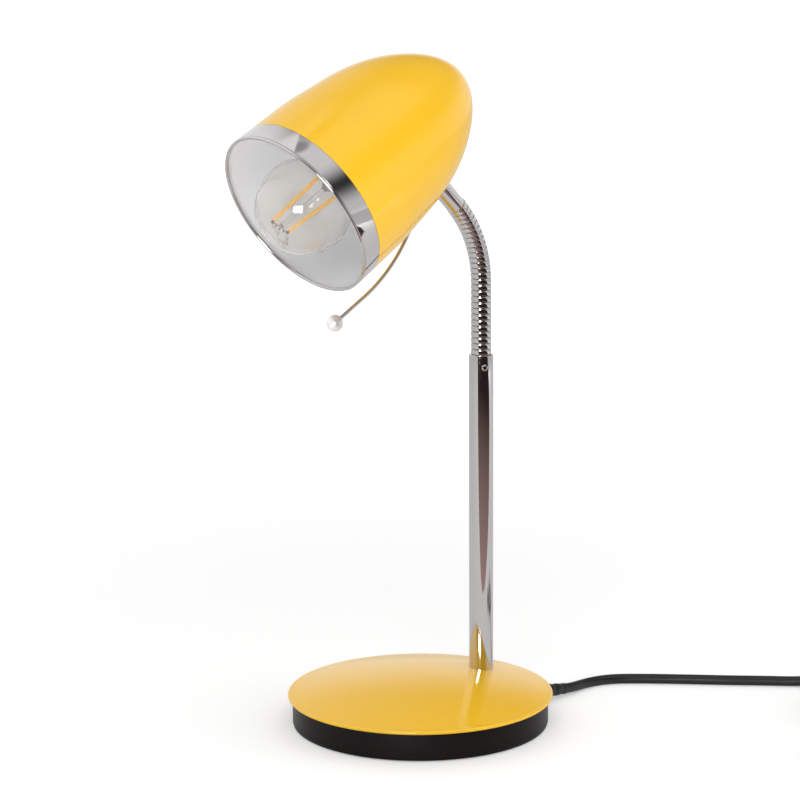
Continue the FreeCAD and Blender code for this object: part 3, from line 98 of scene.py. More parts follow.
# The shade's outline past its shoulder: share of the way to the nose, share of the shoulder radius.
SHADE_SHARES = (
    (0.0, 1.0), (0.20, 0.960), (0.40, 0.904), (0.55, 0.825), (0.70, 0.695), (0.80, 0.573),
    (0.88, 0.447), (0.94, 0.317), (0.98, 0.182), (1.0, 0.0),
)


def length(name, description, default):
    return FloatProperty(name=name, description=description, default=default, unit="LENGTH")


def degrees(name, description, default):
    turn = math.radians(default)
    return FloatProperty(name=name, description=description, default=turn, subtype="ANGLE")


def number(name, description, default):
    return IntProperty(name=name, description=description, default=default)


def watts(name, description, default):
    return FloatProperty(name=name, description=description, default=default, unit="POWER")


def colour(name, description, default):
    return FloatVectorProperty(
        name=name, description=description, default=default, subtype="COLOR", min=0.0, max=1.0
    )


def share(name, description, default):
    return FloatProperty(
        name=name, description=description, default=default, min=0.0, max=1.0, subtype="FACTOR"
    )


class BaseSizes(PropertyGroup):
    """Sizes of the base."""

    cover_radius: length("Dome radius", "Half the width of the yellow dome", 0.065)
    lip_height: length("Lip height", "Height of the dome's lower edge", 0.0141)
    lip_tuck: length("Lip tuck", "How far the lower edge is drawn in", 0.00035)
    edge_rise: length("Edge rise", "Height of the dome's rounded edge", 0.00165)
    edge_inset: length("Edge inset", "From the dome's widest line to its crown's start", 0.0011)
    crown_rise: length("Crown rise", "Height of the crown over the rounded edge", 0.0063)
    cover_wall: length("Dome wall", "Thickness of the dome's sheet", 0.001)
    tray_radius: length("Tray radius", "Half the width of the black tray", 0.06275)
    tray_lift: length("Tray lift", "Gap between the desk and the tray's rim", 0.0006)
    tray_wall: length("Tray wall", "Thickness of the tray's side", 0.0018)
    tray_floor: length("Tray floor", "Thickness of the tray's floor", 0.0016)
    tray_top: length("Tray top", "Height of the top of the tray's side", 0.01495)
    tray_step: length("Tray step", "Height of the small step round the tray's foot", 0.0009)
    tray_gap: length("Pad gap", "Gap round the resting pad", 0.00005)
    pad_radius: length("Pad radius", "Half the width of the resting pad", 0.059)
    pad_thickness: length("Pad thickness", "Thickness of the resting pad", 0.0014)


class StemSizes(PropertyGroup):
    """Sizes of the stem and the neck."""

    offset: length("Stem offset", "From the middle of the base to the stem", 0.04035)
    radius: length("Stem radius", "Half the stem's width", 0.006)
    wall: length("Stem wall", "Thickness of the stem's wall", 0.001)
    top: length("Stem top", "Height of the stem's top", 0.1788)
    rib_pitch: length("Rib pitch", "From one rib of the neck to the next", 0.00291)
    rib_radius: length("Rib radius", "Half the neck's width over its ribs", 0.005)
    groove_radius: length("Groove radius", "Half the neck's width in its grooves", 0.0043)
    bend: degrees("Neck bend", "How far the neck turns forward", 45.0)
    ribs: number("Ribs", "Ribs in each section of the neck", 3)
    straight: number("Straight sections", "Sections below the bend", 4)
    bent: number("Bent sections", "Sections in the bend", 5)
    ferrule_radius: length("Ferrule radius", "Half the ferrule's width", 0.00465)
    ferrule_length: length("Ferrule length", "From the neck's end to the shade", 0.02013)


class ShadeSizes(PropertyGroup):
    """Sizes of the shade, its band and its handle. Stations run back from the mouth."""

    mouth: FloatVectorProperty(
        name="Mouth",
        description="Middle of the shade's mouth",
        default=(0.0, -0.074713, 0.257296),
        subtype="TRANSLATION",
        unit="LENGTH",
    )
    tilt: degrees("Tilt", "How far the shade looks down", 30.19)
    rim_radius: length("Rim radius", "Half the mouth's width", 0.04295)
    shoulder_radius: length("Shoulder radius", "Half the width where the nose starts", 0.04215)
    shoulder: length("Shoulder station", "Where the nose starts", 0.0277)
    nose: length("Shade length", "From the mouth to the tip of the nose", 0.1148)
    wall: length("Wall", "Thickness of the shade's sheet", 0.0008)
    band_width: length("Band width", "Width of the chrome band", 0.0104)
    band_thickness: length("Band thickness", "Thickness of the chrome band", 0.00035)
    bead_radius: length("Bead radius", "Half the thickness of the rolled bead", 0.00085)
    handle_station: length("Handle station", "Where the handle leaves the shade", 0.0582)
    wire_radius: length("Handle wire radius", "Half the handle's thickness", 0.00095)
    stand: length("Handle stand", "Straight start of the handle", 0.001)
    root_bend: length("Handle root bend", "Radius of the handle's first bend", 0.005)
    bow_radius: length("Handle bow", "Radius of the handle's long bow", 0.0775)
    bow: degrees("Handle bow angle", "How far the long bow turns", 33.0)
    run: length("Handle run", "Straight end of the handle", 0.0205)
    ball_radius: length("Ball radius", "Half the ball's width", 0.004)


class BulbSizes(PropertyGroup):
    """Sizes of the bulb. Stations run back from the shade's mouth."""

    ball_radius: length("Globe radius", "Half the globe's width", 0.0225)
    centre: length("Globe station", "Where the globe's middle lies", 0.0065)
    neck_radius: length("Glass neck radius", "Half the width of the glass neck", 0.0128)
    neck_round: length("Neck hollow", "Radius of the hollow between globe and neck", 0.014)
    glass_wall: length("Glass wall", "Thickness of the glass", 0.0008)
    glass_end: length("Glass end", "Where the glass ends in its cap", 0.0365)
    filament_radius: length("Filament radius", "Half a filament's thickness", 0.0009)
    tip_station: length("Filament tip", "Where the filaments' front ends lie", -0.009)
    back_station: length("Filament back", "Where the filaments' back ends lie", 0.026)
    tip_side: length("Tip side", "Filament tips to the side", 0.0038)
    tip_drop: length("Tip drop", "Filament tips downwards", 0.0025)
    back_side: length("Back side", "Filament backs to the side", 0.0029)
    back_drop: length("Back drop", "Filament backs downwards", 0.0056)
    stem_station: length("Glass stem", "Where the wide part of the glass stem starts", 0.023)
    stem_radius: length("Glass stem radius", "Half the glass stem's width", 0.0035)
    rod_radius: length("Glass rod radius", "Half the thin glass rod's width", 0.0012)
    rod_station: length("Glass rod tip", "Where the glass rod ends", -0.0086)


class LeadSizes(PropertyGroup):
    """Sizes of the lead, its coil, its switch and its plug."""

    thickness: length("Lead thickness", "Diameter of the lead", 0.005)
    exit_height: length("Exit height", "Height at which the lead leaves the tray", 0.005)
    exit_reach: length("Exit reach", "From the middle of the base to the bush's face", 0.06475)
    exit_angle: degrees("Exit angle", "Side of the base where the lead leaves", 13.0)
    coil_radius: length("Coil radius", "Radius of the first half turn", 0.0331)
    coil_pitch: length("Coil pitch", "From one turn to the next", 0.0056)
    coil_level: length("Coil level", "Height of the lower layer's middle", 0.0035)
    turns_in: number("Half turns in", "Half turns of the lower layer", 5)
    turns_out: number("Half turns out", "Half turns of the upper layer", 6)
    tie_thickness: length("Tie thickness", "Thickness of the coil's tie", 0.0007)
    switch_length: length("Switch length", "Length of the switch's case", 0.052)
    switch_width: length("Switch width", "Width of the switch's case", 0.020)
    switch_seam: length("Switch seam", "Height of the seam and of the lead in it", 0.0042)
    switch_top: length("Switch top", "Height of the case", 0.0114)
    switch_corner: length("Switch corner", "Radius of the case's corners", 0.005)
    switch_tunnel: length("Lead in switch", "How deep the lead enters the case", 0.0056)
    heading: degrees("Switch heading", "Direction of the switch on the desk", 43.8)
    rocker_length: length("Rocker length", "Length of the rocker", 0.013)
    rocker_width: length("Rocker width", "Width of the rocker", 0.0084)
    plug_length: length("Plug length", "Length of the plug's body", 0.036)
    plug_width: length("Plug width", "Width of the plug at its face", 0.035)
    plug_neck: length("Plug neck", "Width of the plug where the lead enters", 0.013)
    plug_height: length("Plug height", "Height of the plug", 0.0136)
    pin_radius: length("Pin radius", "Half a pin's thickness", 0.002)
    pin_length: length("Pin length", "Length of a pin", 0.019)
    pin_spacing: length("Pin spacing", "From one pin to the other", 0.0186)


class Finishes(PropertyGroup):
    """Colours and gloss."""

    yellow: colour("Yellow enamel", "Dome and shade", (0.96, 0.555, 0.022))
    white: colour("White enamel", "Inside of the shade", (0.94, 0.94, 0.95))
    chrome: colour("Chrome", "Stem, neck, band and handle", (0.61, 0.59, 0.59))
    pearl: colour("Satin chrome", "Ball of the handle", (0.90, 0.88, 0.88))
    black: colour("Black moulding", "Tray", (0.0065, 0.0045, 0.004))
    sheath: colour("Lead sheath", "Lead, plug and switch", (0.011, 0.010, 0.010))
    filament: colour("Filament", "Coated filaments", (1.0, 0.58, 0.085))
    holder: colour("Holder", "Lampholder", (0.78, 0.78, 0.79))
    enamel_gloss: share("Enamel roughness", "Roughness of the enamel", 0.10)
    chrome_gloss: share("Chrome roughness", "Roughness of the chrome", 0.055)


class Studio(PropertyGroup):
    """The camera, the floor and the light."""

    lens: FloatProperty(
        name="Focal length", description="Camera lens", default=122.79, unit="CAMERA"
    )
    floor: colour("Floor", "Colour of the floor", (0.80, 0.80, 0.80))
    glow: share("Floor glow", "How much brighter the floor shows than it is lit", 0.29)
    fill: share("Fill", "Light from all around", 0.75)
    ceiling: share("Ceiling", "Brightness of the dark ceiling in reflections", 0.20)
    window: watts("Window", "Power of the window", 8.0)
    bounce: watts("Bounce", "Power of the low lamp", 5.4)
    over: watts("Over", "Power of the high lamp", 6.0)
    right: watts("Right", "Power of the lamp at the right", 3.0)


# Shapes.


def circle(columns):
    """Angles once round."""
    return np.linspace(0, 2 * np.pi, columns, endpoint=False)


def turned(profile, columns=ROUND):
    """A profile of radius and height carried round the Z axis: (r cos a, r sin a, height)."""
    angles = circle(columns)
    radius, height = np.asarray(profile, float).T[:, :, None]
    x, y = radius * np.cos(angles), radius * np.sin(angles)
    return np.stack([x, y, height + 0 * angles], axis=-1)


def eased(corners, radius, steps=5, closed=False):
    """A chain of corners, each made a quadratic curve that starts and ends a radius from it."""
    points = np.asarray(corners, float)
    before = np.roll(points, 1, axis=0) - points
    after = np.roll(points, -1, axis=0) - points
    radius = np.broadcast_to(np.asarray(radius, float), len(points))[:, None]
    tiny, most = 1e-12, 0.48
    size_before = np.linalg.norm(before, axis=1, keepdims=True) + tiny
    size_after = np.linalg.norm(after, axis=1, keepdims=True) + tiny
    start = points + before * np.minimum(radius / size_before, most)
    end = points + after * np.minimum(radius / size_after, most)
    t = np.linspace(0, 1, steps)[None, :, None]
    curve = (1 - t) ** 2 * start[:, None] + 2 * t * (1 - t) * points[:, None] + t**2 * end[:, None]
    if closed:
        chain = curve.reshape(-1, points.shape[1])
        return np.vstack([chain, chain[:1]])
    middle = curve[1:-1].reshape(-1, points.shape[1])
    return np.vstack([points[:1], middle, points[-1:]])


def arc_points(centre, radius, first, last, steps):
    """Points on a circle between two angles, as (centre + radius cos a, centre + radius sin a)."""
    angles = np.linspace(first, last, steps)
    return np.column_stack(
        [centre[0] + radius * np.cos(angles), centre[1] + radius * np.sin(angles)]
    )


def arc_through(start, middle, end, steps):
    """Points on the circle through three points, whose centre is as far from each of them."""
    start, middle, end = np.asarray([start, middle, end], float)
    sides = 2 * np.array([middle - start, end - start])
    sizes = np.array([middle @ middle - start @ start, end @ end - start @ start])
    centre = np.linalg.solve(sides, sizes)
    turns = np.unwrap([math.atan2(*(point - centre)[::-1]) for point in (start, middle, end)])
    return arc_points(centre, np.linalg.norm(start - centre), turns[0], turns[2], steps)


def spline(points, first, last, steps):
    """A cubic curve through points with given end slopes, whose second slope is steady at each."""
    points = np.asarray(points, float)
    gap = np.linalg.norm(np.diff(points, axis=0), axis=1)
    inverse = 1 / gap
    count = len(points)
    rows = np.eye(count)
    middle = np.arange(1, count - 1)
    rows[middle, middle - 1] = inverse[:-1]
    rows[middle, middle] = 2 * (inverse[:-1] + inverse[1:])
    rows[middle, middle + 1] = inverse[1:]
    rise = np.diff(points, axis=0) * (inverse**2)[:, None]
    wanted = np.vstack([[first], 3 * (rise[:-1] + rise[1:]), [last]])
    slopes = np.linalg.solve(rows, wanted)
    knots = np.concatenate([[0], np.cumsum(gap)])
    places = np.linspace(0, knots[-1], steps)
    index = np.clip(np.searchsorted(knots, places, side="right") - 1, 0, count - 2)
    size = gap[index][:, None]
    t = ((places - knots[index]) / gap[index])[:, None]
    return (
        (2 * t**3 - 3 * t**2 + 1) * points[index]
        + (t**3 - 2 * t**2 + t) * size * slopes[index]
        + (3 * t**2 - 2 * t**3) * points[index + 1]
        + (t**3 - t**2) * size * slopes[index + 1]
    )


def boxed_rings(sizes, columns=64):
    """Rounded rectangles from rows of half length, half width, corner radius and height.

    Each point is a corner's centre plus the corner radius along the angle.
    """
    angles = (np.arange(columns) + 0.5) * 2 * np.pi / columns
    along, across = np.cos(angles), np.sin(angles)
    half_length, half_width, corner, height = np.asarray(sizes, float).T[:, :, None]
    x = np.sign(along) * (half_length - corner) + corner * along
    y = np.sign(across) * (half_width - corner) + corner * across
    return np.stack([x, y, height + 0 * x], axis=-1)


def capped(rings):
    """Rings with a point at the middle of the first and of the last, which closes both ends."""
    first = np.broadcast_to(rings[0].mean(axis=0), rings[0].shape)
    last = np.broadcast_to(rings[-1].mean(axis=0), rings[-1].shape)
    return np.concatenate([first[None], rings, last[None]])


def unit(vectors):
    """Vectors divided by their lengths."""
    return vectors / np.linalg.norm(vectors, axis=-1, keepdims=True)


def rings_round(path, radius, across, normal, columns):
    """Circles round a path: path + radius (cos a across + sin a normal)."""
    angles = circle(columns)[None, :, None]
    radius = np.broadcast_to(np.asarray(radius, float), len(path))[:, None, None]
    way = np.cos(angles) * across[:, None] + np.sin(angles) * normal[:, None]
    return path[:, None] + radius * way


def tube_rings(path, radius, columns, side=(1.0, 0.0, 0.0)):
    """Circles square to a path. N is its direction crossed with a side, S is N crossed with it."""
    path = np.asarray(path, float)
    along = unit(np.gradient(path, axis=0))
    normal = unit(np.cross(along, side))
    return rings_round(path, radius, np.cross(normal, along), normal, columns)


def placed(rings, matrix):
    """The points of a grid moved by a matrix: rotation times point plus shift."""
    matrix = np.array(matrix)
    return rings @ matrix[:3, :3].T + matrix[:3, 3]


def aimed(origin, direction):
    """A matrix whose Z axis runs along a direction."""
    turn = Vector(direction).to_track_quat("Z", "Y").to_matrix().to_4x4()
    return Matrix.Translation(origin) @ turn


def rod(start, end, radius, ease, columns=24):
    """A round rod with eased ends between two points."""
    way = Vector(end) - Vector(start)
    profile = eased([(0, 0), (radius, 0), (radius, way.length), (0, way.length)], ease)
    return placed(turned(profile, columns), aimed(start, way))


def linked(name, data):
    """A new object in the scene."""
    thing = bpy.data.objects.new(name, data)
    bpy.context.scene.collection.objects.link(thing)
    return thing


def piece(name, grids, finishes, body, stands_for=(), keep_sharp=40.0):
    """Makes one object from grids of points, whose columns run round, and lets it ride on a body.

    A grid may come with a row number from which its faces take the next finish.
    """
    mesh = bpy.data.meshes.new(name)
    vertices, faces, finish_numbers, start = [], [], [], 0
    for grid in grids:
        grid, change = grid if isinstance(grid, tuple) else (grid, None)
        rows, columns = grid.shape[:2]
        points = np.arange(rows * columns).reshape(rows, columns) + start
        beside = np.roll(points, -1, axis=1)
        quads = np.stack([points[:-1], beside[:-1], beside[1:], points[1:]], axis=-1)
        uses = np.zeros(quads.shape[:2], int)
        if change is not None:
            uses[change:] = 1
        vertices.append(grid.reshape(-1, 3))
        faces.append(quads.reshape(-1, 4))
        finish_numbers.append(uses.reshape(-1))
        start += rows * columns
    mesh.from_pydata(np.concatenate(vertices), [], np.concatenate(faces))
    for material in finishes:
        mesh.materials.append(material)
    mesh.polygons.foreach_set("material_index", np.concatenate(finish_numbers))
    work = bmesh.new()
    work.from_mesh(mesh)
    bmesh.ops.remove_doubles(work, verts=work.verts, dist=1e-7)
    bmesh.ops.recalc_face_normals(work, faces=work.faces)
    work.to_mesh(mesh)
    work.free()
    mesh.shade_smooth()
    mesh.set_sharp_from_angle(angle=math.radians(keep_sharp))
    thing = linked(name, mesh)
    if body:
        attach(thing, body)
    if stands_for:
        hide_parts(*stands_for)
    return thing


# Shader nodes.


def made(tree, kind, inputs, **settings):
    """A new shader node with its settings. An input is a value, or the socket that feeds it."""
    node = tree.nodes.new("ShaderNode" + kind)
    for name, setting in settings.items():
        setattr(node, name, setting)
    for socket, value in inputs.items():
        if isinstance(value, bpy.types.NodeSocket):
            tree.links.new(value, node.inputs[socket])
        else:
            node.inputs[socket].default_value = value
    return node


def mixed(tree, share, low, high):
    """low + share (high - low), where low and high are numbers or sockets."""
    return made(tree, "Mix", {0: share, 2: low, 3: high}).outputs[0]


def stepped(tree, value, start, end, low, high, kind="SMOOTHSTEP"):
    """A step from low to high as a value goes from start to end."""
    ends = {"Value": value, "From Min": start, "From Max": end, "To Min": low, "To Max": high}
    return made(tree, "MapRange", ends, interpolation_type=kind).outputs["Result"]


def shown_rays(tree, rays):
    """1 for what the eye sees directly, in a reflection or through glass, and otherwise 0."""
    seen = rays.outputs["Is Camera Ray"]
    for other in ("Is Glossy Ray", "Is Transmission Ray"):
        seen = made(tree, "Math", {0: seen, 1: rays.outputs[other]}, operation="MAXIMUM").outputs[0]
    return seen


def from_origin(tree):
    """How far a surface's point is from its object's origin."""
    here = made(tree, "TexCoord", {}).outputs["Object"]
    return made(tree, "VectorMath", {0: here}, operation="LENGTH").outputs["Value"]


def bare_material(name):
    """A new material without a shader, its node tree and the socket that its surface comes from."""
    material = bpy.data.materials.new(name)
    material.use_nodes = True
    tree = material.node_tree
    tree.nodes.remove(tree.nodes["Principled BSDF"])
    return material, tree, tree.nodes["Material Output"].inputs["Surface"]


# Finishes. A word for the base or the roughness is the name of a property of Finishes.

FINISHES = {
    "yellow_enamel": dict(
        base="yellow", roughness="enamel_gloss", worn=0.975, spread=0.02, grain=420.0, depth=3e-6
    ),
    "white_enamel": dict(base="white", roughness=0.38, worn=0.97, grain=700.0, depth=6e-6),
    "chrome": dict(
        base="chrome", roughness="chrome_gloss", worn=0.97, spread=0.02, grain=2600.0, depth=7e-7,
        Metallic=1.0,
    ),
    "satin_chrome": dict(
        base="pearl", roughness=0.42, worn=0.95, grain=3000.0, depth=4e-6, Metallic=0.8
    ),
    "black_moulding": dict(
        base="black", roughness=0.36, worn=0.7, grain=1500.0, Specular_IOR_Level=0.15
    ),
    "sheath": dict(base="sheath", roughness=0.36, worn=0.75, spread=0.06, grain=1100.0, depth=3e-5),
    "hard_black": dict(base="sheath", roughness=0.30, worn=0.8, grain=1800.0),
    "rocker_moulding": dict(
        base=(0.022, 0.022, 0.023), roughness=0.22, worn=0.85, grain=1200.0, depth=1e-5
    ),
    "holder_moulding": dict(base="holder", roughness=0.33, worn=0.96, depth=1e-5),
    "clear_glass": dict(
        base=(0.99, 0.975, 0.955), roughness=0.012, worn=0.99, spread=0.01, grain=160.0, depth=4e-6,
        Transmission_Weight=0.95, IOR=1.47,
    ),
    # The filaments' emission is a painted glow: they are no lamp, and it brightens them behind the
    # glass.
    "filament_coat": dict(
        base="filament", roughness=0.5, worn=0.85, grain=2400.0, depth=4e-5,
        Emission_Color=(1.0, 0.50, 0.05, 1.0), Emission_Strength=0.28,
    ),
    "dark_wire": dict(
        base=(0.22, 0.12, 0.10), roughness=0.35, worn=0.7, grain=3000.0, depth=1e-5, Metallic=0.7
    ),
    "zinc": dict(
        base=(0.52, 0.53, 0.54), roughness=0.33, worn=0.85, spread=0.08, grain=1300.0, Metallic=1.0
    ),
    "brass": dict(
        base=(0.62, 0.46, 0.20), roughness=0.28, worn=0.85, grain=1500.0, depth=1e-5, Metallic=1.0
    ),
    "cast_iron": dict(
        base=(0.045, 0.044, 0.046), roughness=0.7, worn=0.7, grain=1400.0, depth=1e-4
    ),
    "soft_pad": dict(
        base=(0.022, 0.022, 0.023), roughness=0.85, worn=0.75, grain=2200.0, depth=1.2e-4
    ),
    "cap_metal": dict(
        base=(0.70, 0.69, 0.67), roughness=0.22, worn=0.9, grain=1200.0, depth=1e-5, Metallic=1.0
    ),
}


def finish(name):
    """The material of a finish, made when it is first asked for."""
    return bpy.data.materials.get(name) or new_finish(name, **FINISHES[name])


def new_finish(name, base, roughness, worn, spread=0.03, grain=900.0, depth=2e-5, **sockets):
    """A surface whose colour and roughness drift slowly over it and whose fine grain is raised.

    Broad noise mixes the colour with a slightly darker one and sets the roughness. Fine noise is
    bumped. The other words are the shader's own sockets.
    """
    looks = bpy.context.scene.lamp_finishes
    base = getattr(looks, base) if isinstance(base, str) else base
    roughness = getattr(looks, roughness) if isinstance(roughness, str) else roughness
    material = bpy.data.materials.new(name)
    material.use_nodes = True
    tree = material.node_tree
    shader = tree.nodes["Principled BSDF"]
    for socket, value in sockets.items():
        shader.inputs[socket.replace("_", " ")].default_value = value
    place = made(tree, "TexCoord", {}).outputs["Object"]
    drift = made(tree, "TexNoise", {"Vector": place, "Scale": 22.0, "Detail": 3.0}).outputs["Fac"]
    fine = made(tree, "TexNoise", {"Vector": place, "Scale": grain, "Detail": 4.0}).outputs["Fac"]
    darker = (*(part * worn for part in base), 1.0)
    tint = made(tree, "Mix", {}, data_type="RGBA")
    tint.inputs[6].default_value = (*base, 1.0)
    tint.inputs[7].default_value = darker
    tree.links.new(drift, tint.inputs[0])
    tree.links.new(tint.outputs[2], shader.inputs["Base Color"])
    low, high = max(roughness - spread, 0.0), roughness + spread
    sheen = stepped(tree, drift, 0.3, 0.7, low, high, "LINEAR")
    tree.links.new(sheen, shader.inputs["Roughness"])
    bump = made(tree, "Bump", {"Height": fine, "Distance": depth, "Strength": 1.0})
    tree.links.new(bump.outputs["Normal"], shader.inputs["Normal"])
    return material


def dress(finish_name, *nodes):
    """Gives kept nodes their finish."""
    for node in nodes:
        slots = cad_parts[node].data.materials
        slots.clear()
        slots.append(finish(finish_name))


class Maker:
    """What all the lamp's operators share."""

    bl_options = {"REGISTER", "UNDO"}


# Frames of the pieces.


def shade_frame(shade):
    """The shade's own frame: origin in the mouth, Z back along the axis, Y down."""
    turn = Matrix.Rotation(shade.tilt - math.pi / 2, 4, "X")
    return Matrix.Translation(shade.mouth) @ turn


def neck_points(stem, reach):
    """The neck's centreline: up to its bend, then round an arc, with its turn at each reach."""
    reach = np.asarray(reach, float)
    section = stem.rib_pitch * stem.ribs
    straight = section * stem.straight
    radius = section * stem.bent / stem.bend
    turn = np.clip(reach - straight, 0, None) / radius
    y = stem.offset + radius * (np.cos(turn) - 1)
    z = stem.top + np.minimum(reach, straight) + radius * np.sin(turn)
    return np.stack([0 * y, y, z], axis=-1), turn


def neck_rings(stem, reach, radius):
    """Circles square to the neck, whose normal is (0, cos turn, sin turn)."""
    centre, turn = neck_points(stem, reach)
    across = np.broadcast_to([1.0, 0.0, 0.0], centre.shape)
    normal = np.stack([0 * turn, np.cos(turn), np.sin(turn)], axis=-1)
    return rings_round(centre, radius, across, normal, SMALL_ROUND)


def switch_frame(lead):
    """The switch's frame: origin on the desk under its middle, X along the lead."""
    way = np.array([math.cos(lead.heading), math.sin(lead.heading)])
    middle = LEAD_OUT[-1, :2] + way * (lead.thickness + lead.switch_length / 2)
    return Matrix.Translation((*middle, 0)) @ Matrix.Rotation(lead.heading, 4, "Z")


def plug_frame(lead):
    """The plug's frame: origin where the lead enters, X towards the pins."""
    across, along = PLUG_ENTRY - LEAD_TO_PLUG[-1]
    entry = Matrix.Translation((*PLUG_ENTRY, lead.plug_height / 2))
    return entry @ Matrix.Rotation(math.atan2(along, across), 4, "Z")


# Base.


def crown_height(base, reach):
    """The dome's height at a reach: a ball's cap, apex - R + sqrt(R^2 - reach^2)."""
    edge = base.cover_radius - base.edge_inset
    ball = (edge**2 + base.crown_rise**2) / (2 * base.crown_rise)
    apex = base.lip_height + base.edge_rise + base.crown_rise
    return apex - ball + np.sqrt(ball**2 - reach**2)


def dome_rings(base, foot, hole, columns=256):
    """The dome's sheet round the stem's hole: rows run from the hole to the rim and back inside.

    In a direction d from the stem's foot f the crown ends at L = -f.d + sqrt((f.d)^2 - f.f + R^2).
    A row's point is f + d (hole + share (L - hole)) at the crown's height. The rim's rows are
    turned.
    """
    angles = circle(columns)
    way = np.stack([np.cos(angles), np.sin(angles)], axis=-1)
    foot = np.asarray(foot, float)

    def crown(reach, shares, drop):
        along = way @ foot
        limit = -along + np.sqrt(along**2 - foot @ foot + reach**2)
        distance = hole + shares[:, None] * (limit - hole)
        place = foot + way * distance[..., None]
        height = crown_height(base, np.linalg.norm(place, axis=-1)) - drop
        return np.concatenate([place, height[..., None]], axis=-1)

    edge, lip, wall = base.cover_radius - base.edge_inset, base.lip_height, base.cover_wall
    tuck = base.cover_radius - base.lip_tuck
    outside = crown(edge, np.linspace(0, 1, 24), 0)
    inside = crown(edge - wall, np.linspace(1, 0, 12), wall)
    rise = base.edge_rise
    roll = arc_through((edge, lip + rise), (base.cover_radius, lip + rise / 2), (tuck, lip), 12)
    reach, height = np.vstack([roll[1:], [tuck - wall, lip]]).T[:, :, None, None]
    rim = unit(outside[-1, :, :2]) * reach
    turned_rows = np.concatenate([rim, np.broadcast_to(height, (*rim.shape[:2], 1))], -1)
    return np.concatenate([outside, turned_rows, inside, outside[:1]])


class LAMP_OT_base(Maker, Operator):
    """Makes the yellow dome, the black tray under it and the pad that it rests on"""

    bl_idname = "lamp.base"
    bl_label = "Base"

    def execute(self, context):
        base, stem = context.scene.lamp_base, context.scene.lamp_stem
        dome = dome_rings(base, (0, stem.offset), stem.radius - stem.wall)
        enamel = finish("yellow_enamel")
        piece("dome", [dome], [enamel], "base", ["base_cover"], 60)

        outer, foot, step = base.tray_radius, base.tray_lift, base.tray_step
        inner = outer - base.tray_wall
        recess = base.pad_radius + base.tray_gap
        floor = foot + base.tray_floor
        under = base.pad_thickness
        side = [
            (recess, under),
            (recess, foot),
            (outer - step / 3, foot),
            (outer - step / 3, foot + step),
            (outer, foot + step * 1.2),
            (outer, base.tray_top),
            (inner, base.tray_top),
            (inner, floor),
        ]
        tray = turned(eased([(0, under), *side, (0, floor)], EDGE))
        piece("tray", [tray], [finish("black_moulding")], "base", ["base_tray"])

        pad = [(0, 0), (base.pad_radius, 0), (base.pad_radius, under), (0, under)]
        pad = turned(eased(pad, EDGE))
        piece("pad", [pad], [finish("soft_pad")], "base", ["base_pad"])
        dress("cast_iron", "base_weight")
        dress("zinc", "base_screws", "foot_nut", "foot_spacer")
        dress("brass", "stem_nipple", "neck_socket")
        return {"FINISHED"}


# Stem and neck.


class LAMP_OT_stem(Maker, Operator):
    """Makes the tube stem, which stands on the dome"""

    bl_idname = "lamp.stem"
    bl_label = "Stem"

    def execute(self, context):
        base, stem = context.scene.lamp_base, context.scene.lamp_stem
        outer, inner, top = stem.radius, stem.radius - stem.wall, stem.top
        profile = eased([(outer, 0), (outer, top), (inner, top), (inner, 0)], EDGE, 7)
        side = np.linspace(0.1, 0.9, 9)[:, None] * [0, top] + [outer, 0]
        profile = np.vstack([profile[:1], side, profile[1:], profile[:1]])
        tube = turned(profile, 2 * SMALL_ROUND) + [0, stem.offset, 0]
        on_dome = crown_height(base, np.linalg.norm(tube[..., :2], axis=-1))
        tube[..., 2] = np.maximum(tube[..., 2], on_dome)
        piece("stem", [tube], [finish("chrome")], "base", ["stem_tube"])
        dress("chrome", "neck_set_screw")
        dress("sheath", "stem_lead")
        return {"FINISHED"}


def rib_profile(stem, ribs, steps=14):
    """Ribs along the neck: crest - crown (2u - 1)^2 on a rib, with a groove at each end of it.

    u runs from 0 to 1 over a rib, with its steps closer at the ends. The groove's depth is a bell,
    exp(-(u / width)^2), at u = 0 and 1.
    """
    crown_share, groove_width = 0.09, 0.055
    u = (1 - np.cos(np.pi * np.arange(steps) / steps)) / 2
    crown = (stem.rib_radius - stem.groove_radius) * crown_share
    bell = np.exp(-((np.minimum(u, 1 - u) / groove_width) ** 2))
    groove = (stem.rib_radius - crown - stem.groove_radius) * bell
    radius = stem.rib_radius - crown * (2 * u - 1) ** 2 - groove
    reach = (u + np.arange(ribs)[:, None]).ravel() * stem.rib_pitch
    return np.append(reach, ribs * stem.rib_pitch), np.append(np.tile(radius, ribs), radius[0])


class LAMP_OT_neck(Maker, Operator):
    """Makes the ribbed neck in lengths from the middle of one section to the middle of the next"""

    bl_idname = "lamp.neck"
    bl_label = "Neck"

    def execute(self, context):
        stem = context.scene.lamp_stem
        sections = stem.straight + stem.bent
        bodies = ["base", *(f"neck_{number}" for number in range(1, sections - 1)), "head"]
        bore, sunk = stem.groove_radius * 0.55, 0.001
        middles = [stem.ribs // 2 + stem.ribs * number for number in range(sections)]
        edges = [0, *middles, sections * stem.ribs]
        for number, (first, last) in enumerate(zip(edges, edges[1:])):
            along, radius = rib_profile(stem, last - first)
            reach = along + first * stem.rib_pitch
            if number == 0:
                reach[0] -= sunk
            rows = np.concatenate([reach[:1], reach, reach[-1:], reach[:1]])
            sizes = np.concatenate([[bore], radius, [bore, bore]])
            below, above = bodies[max(number - 1, 0)], bodies[min(number, sections - 1)]
            hinged = below != above
            stands_for = [f"neck_segment_{number}"] if number < sections else []
            ribs = piece(
                f"neck_ribs_{number}", [neck_rings(stem, rows, sizes)], [finish("chrome")],
                None if hinged else above, stands_for, 50,
            )
            if hinged:
                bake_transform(ribs)
        dress("sheath", *(f"neck_lead_{number}" for number in range(1, sections - 1)))
        return {"FINISHED"}


# Shade, ferrule and handle.


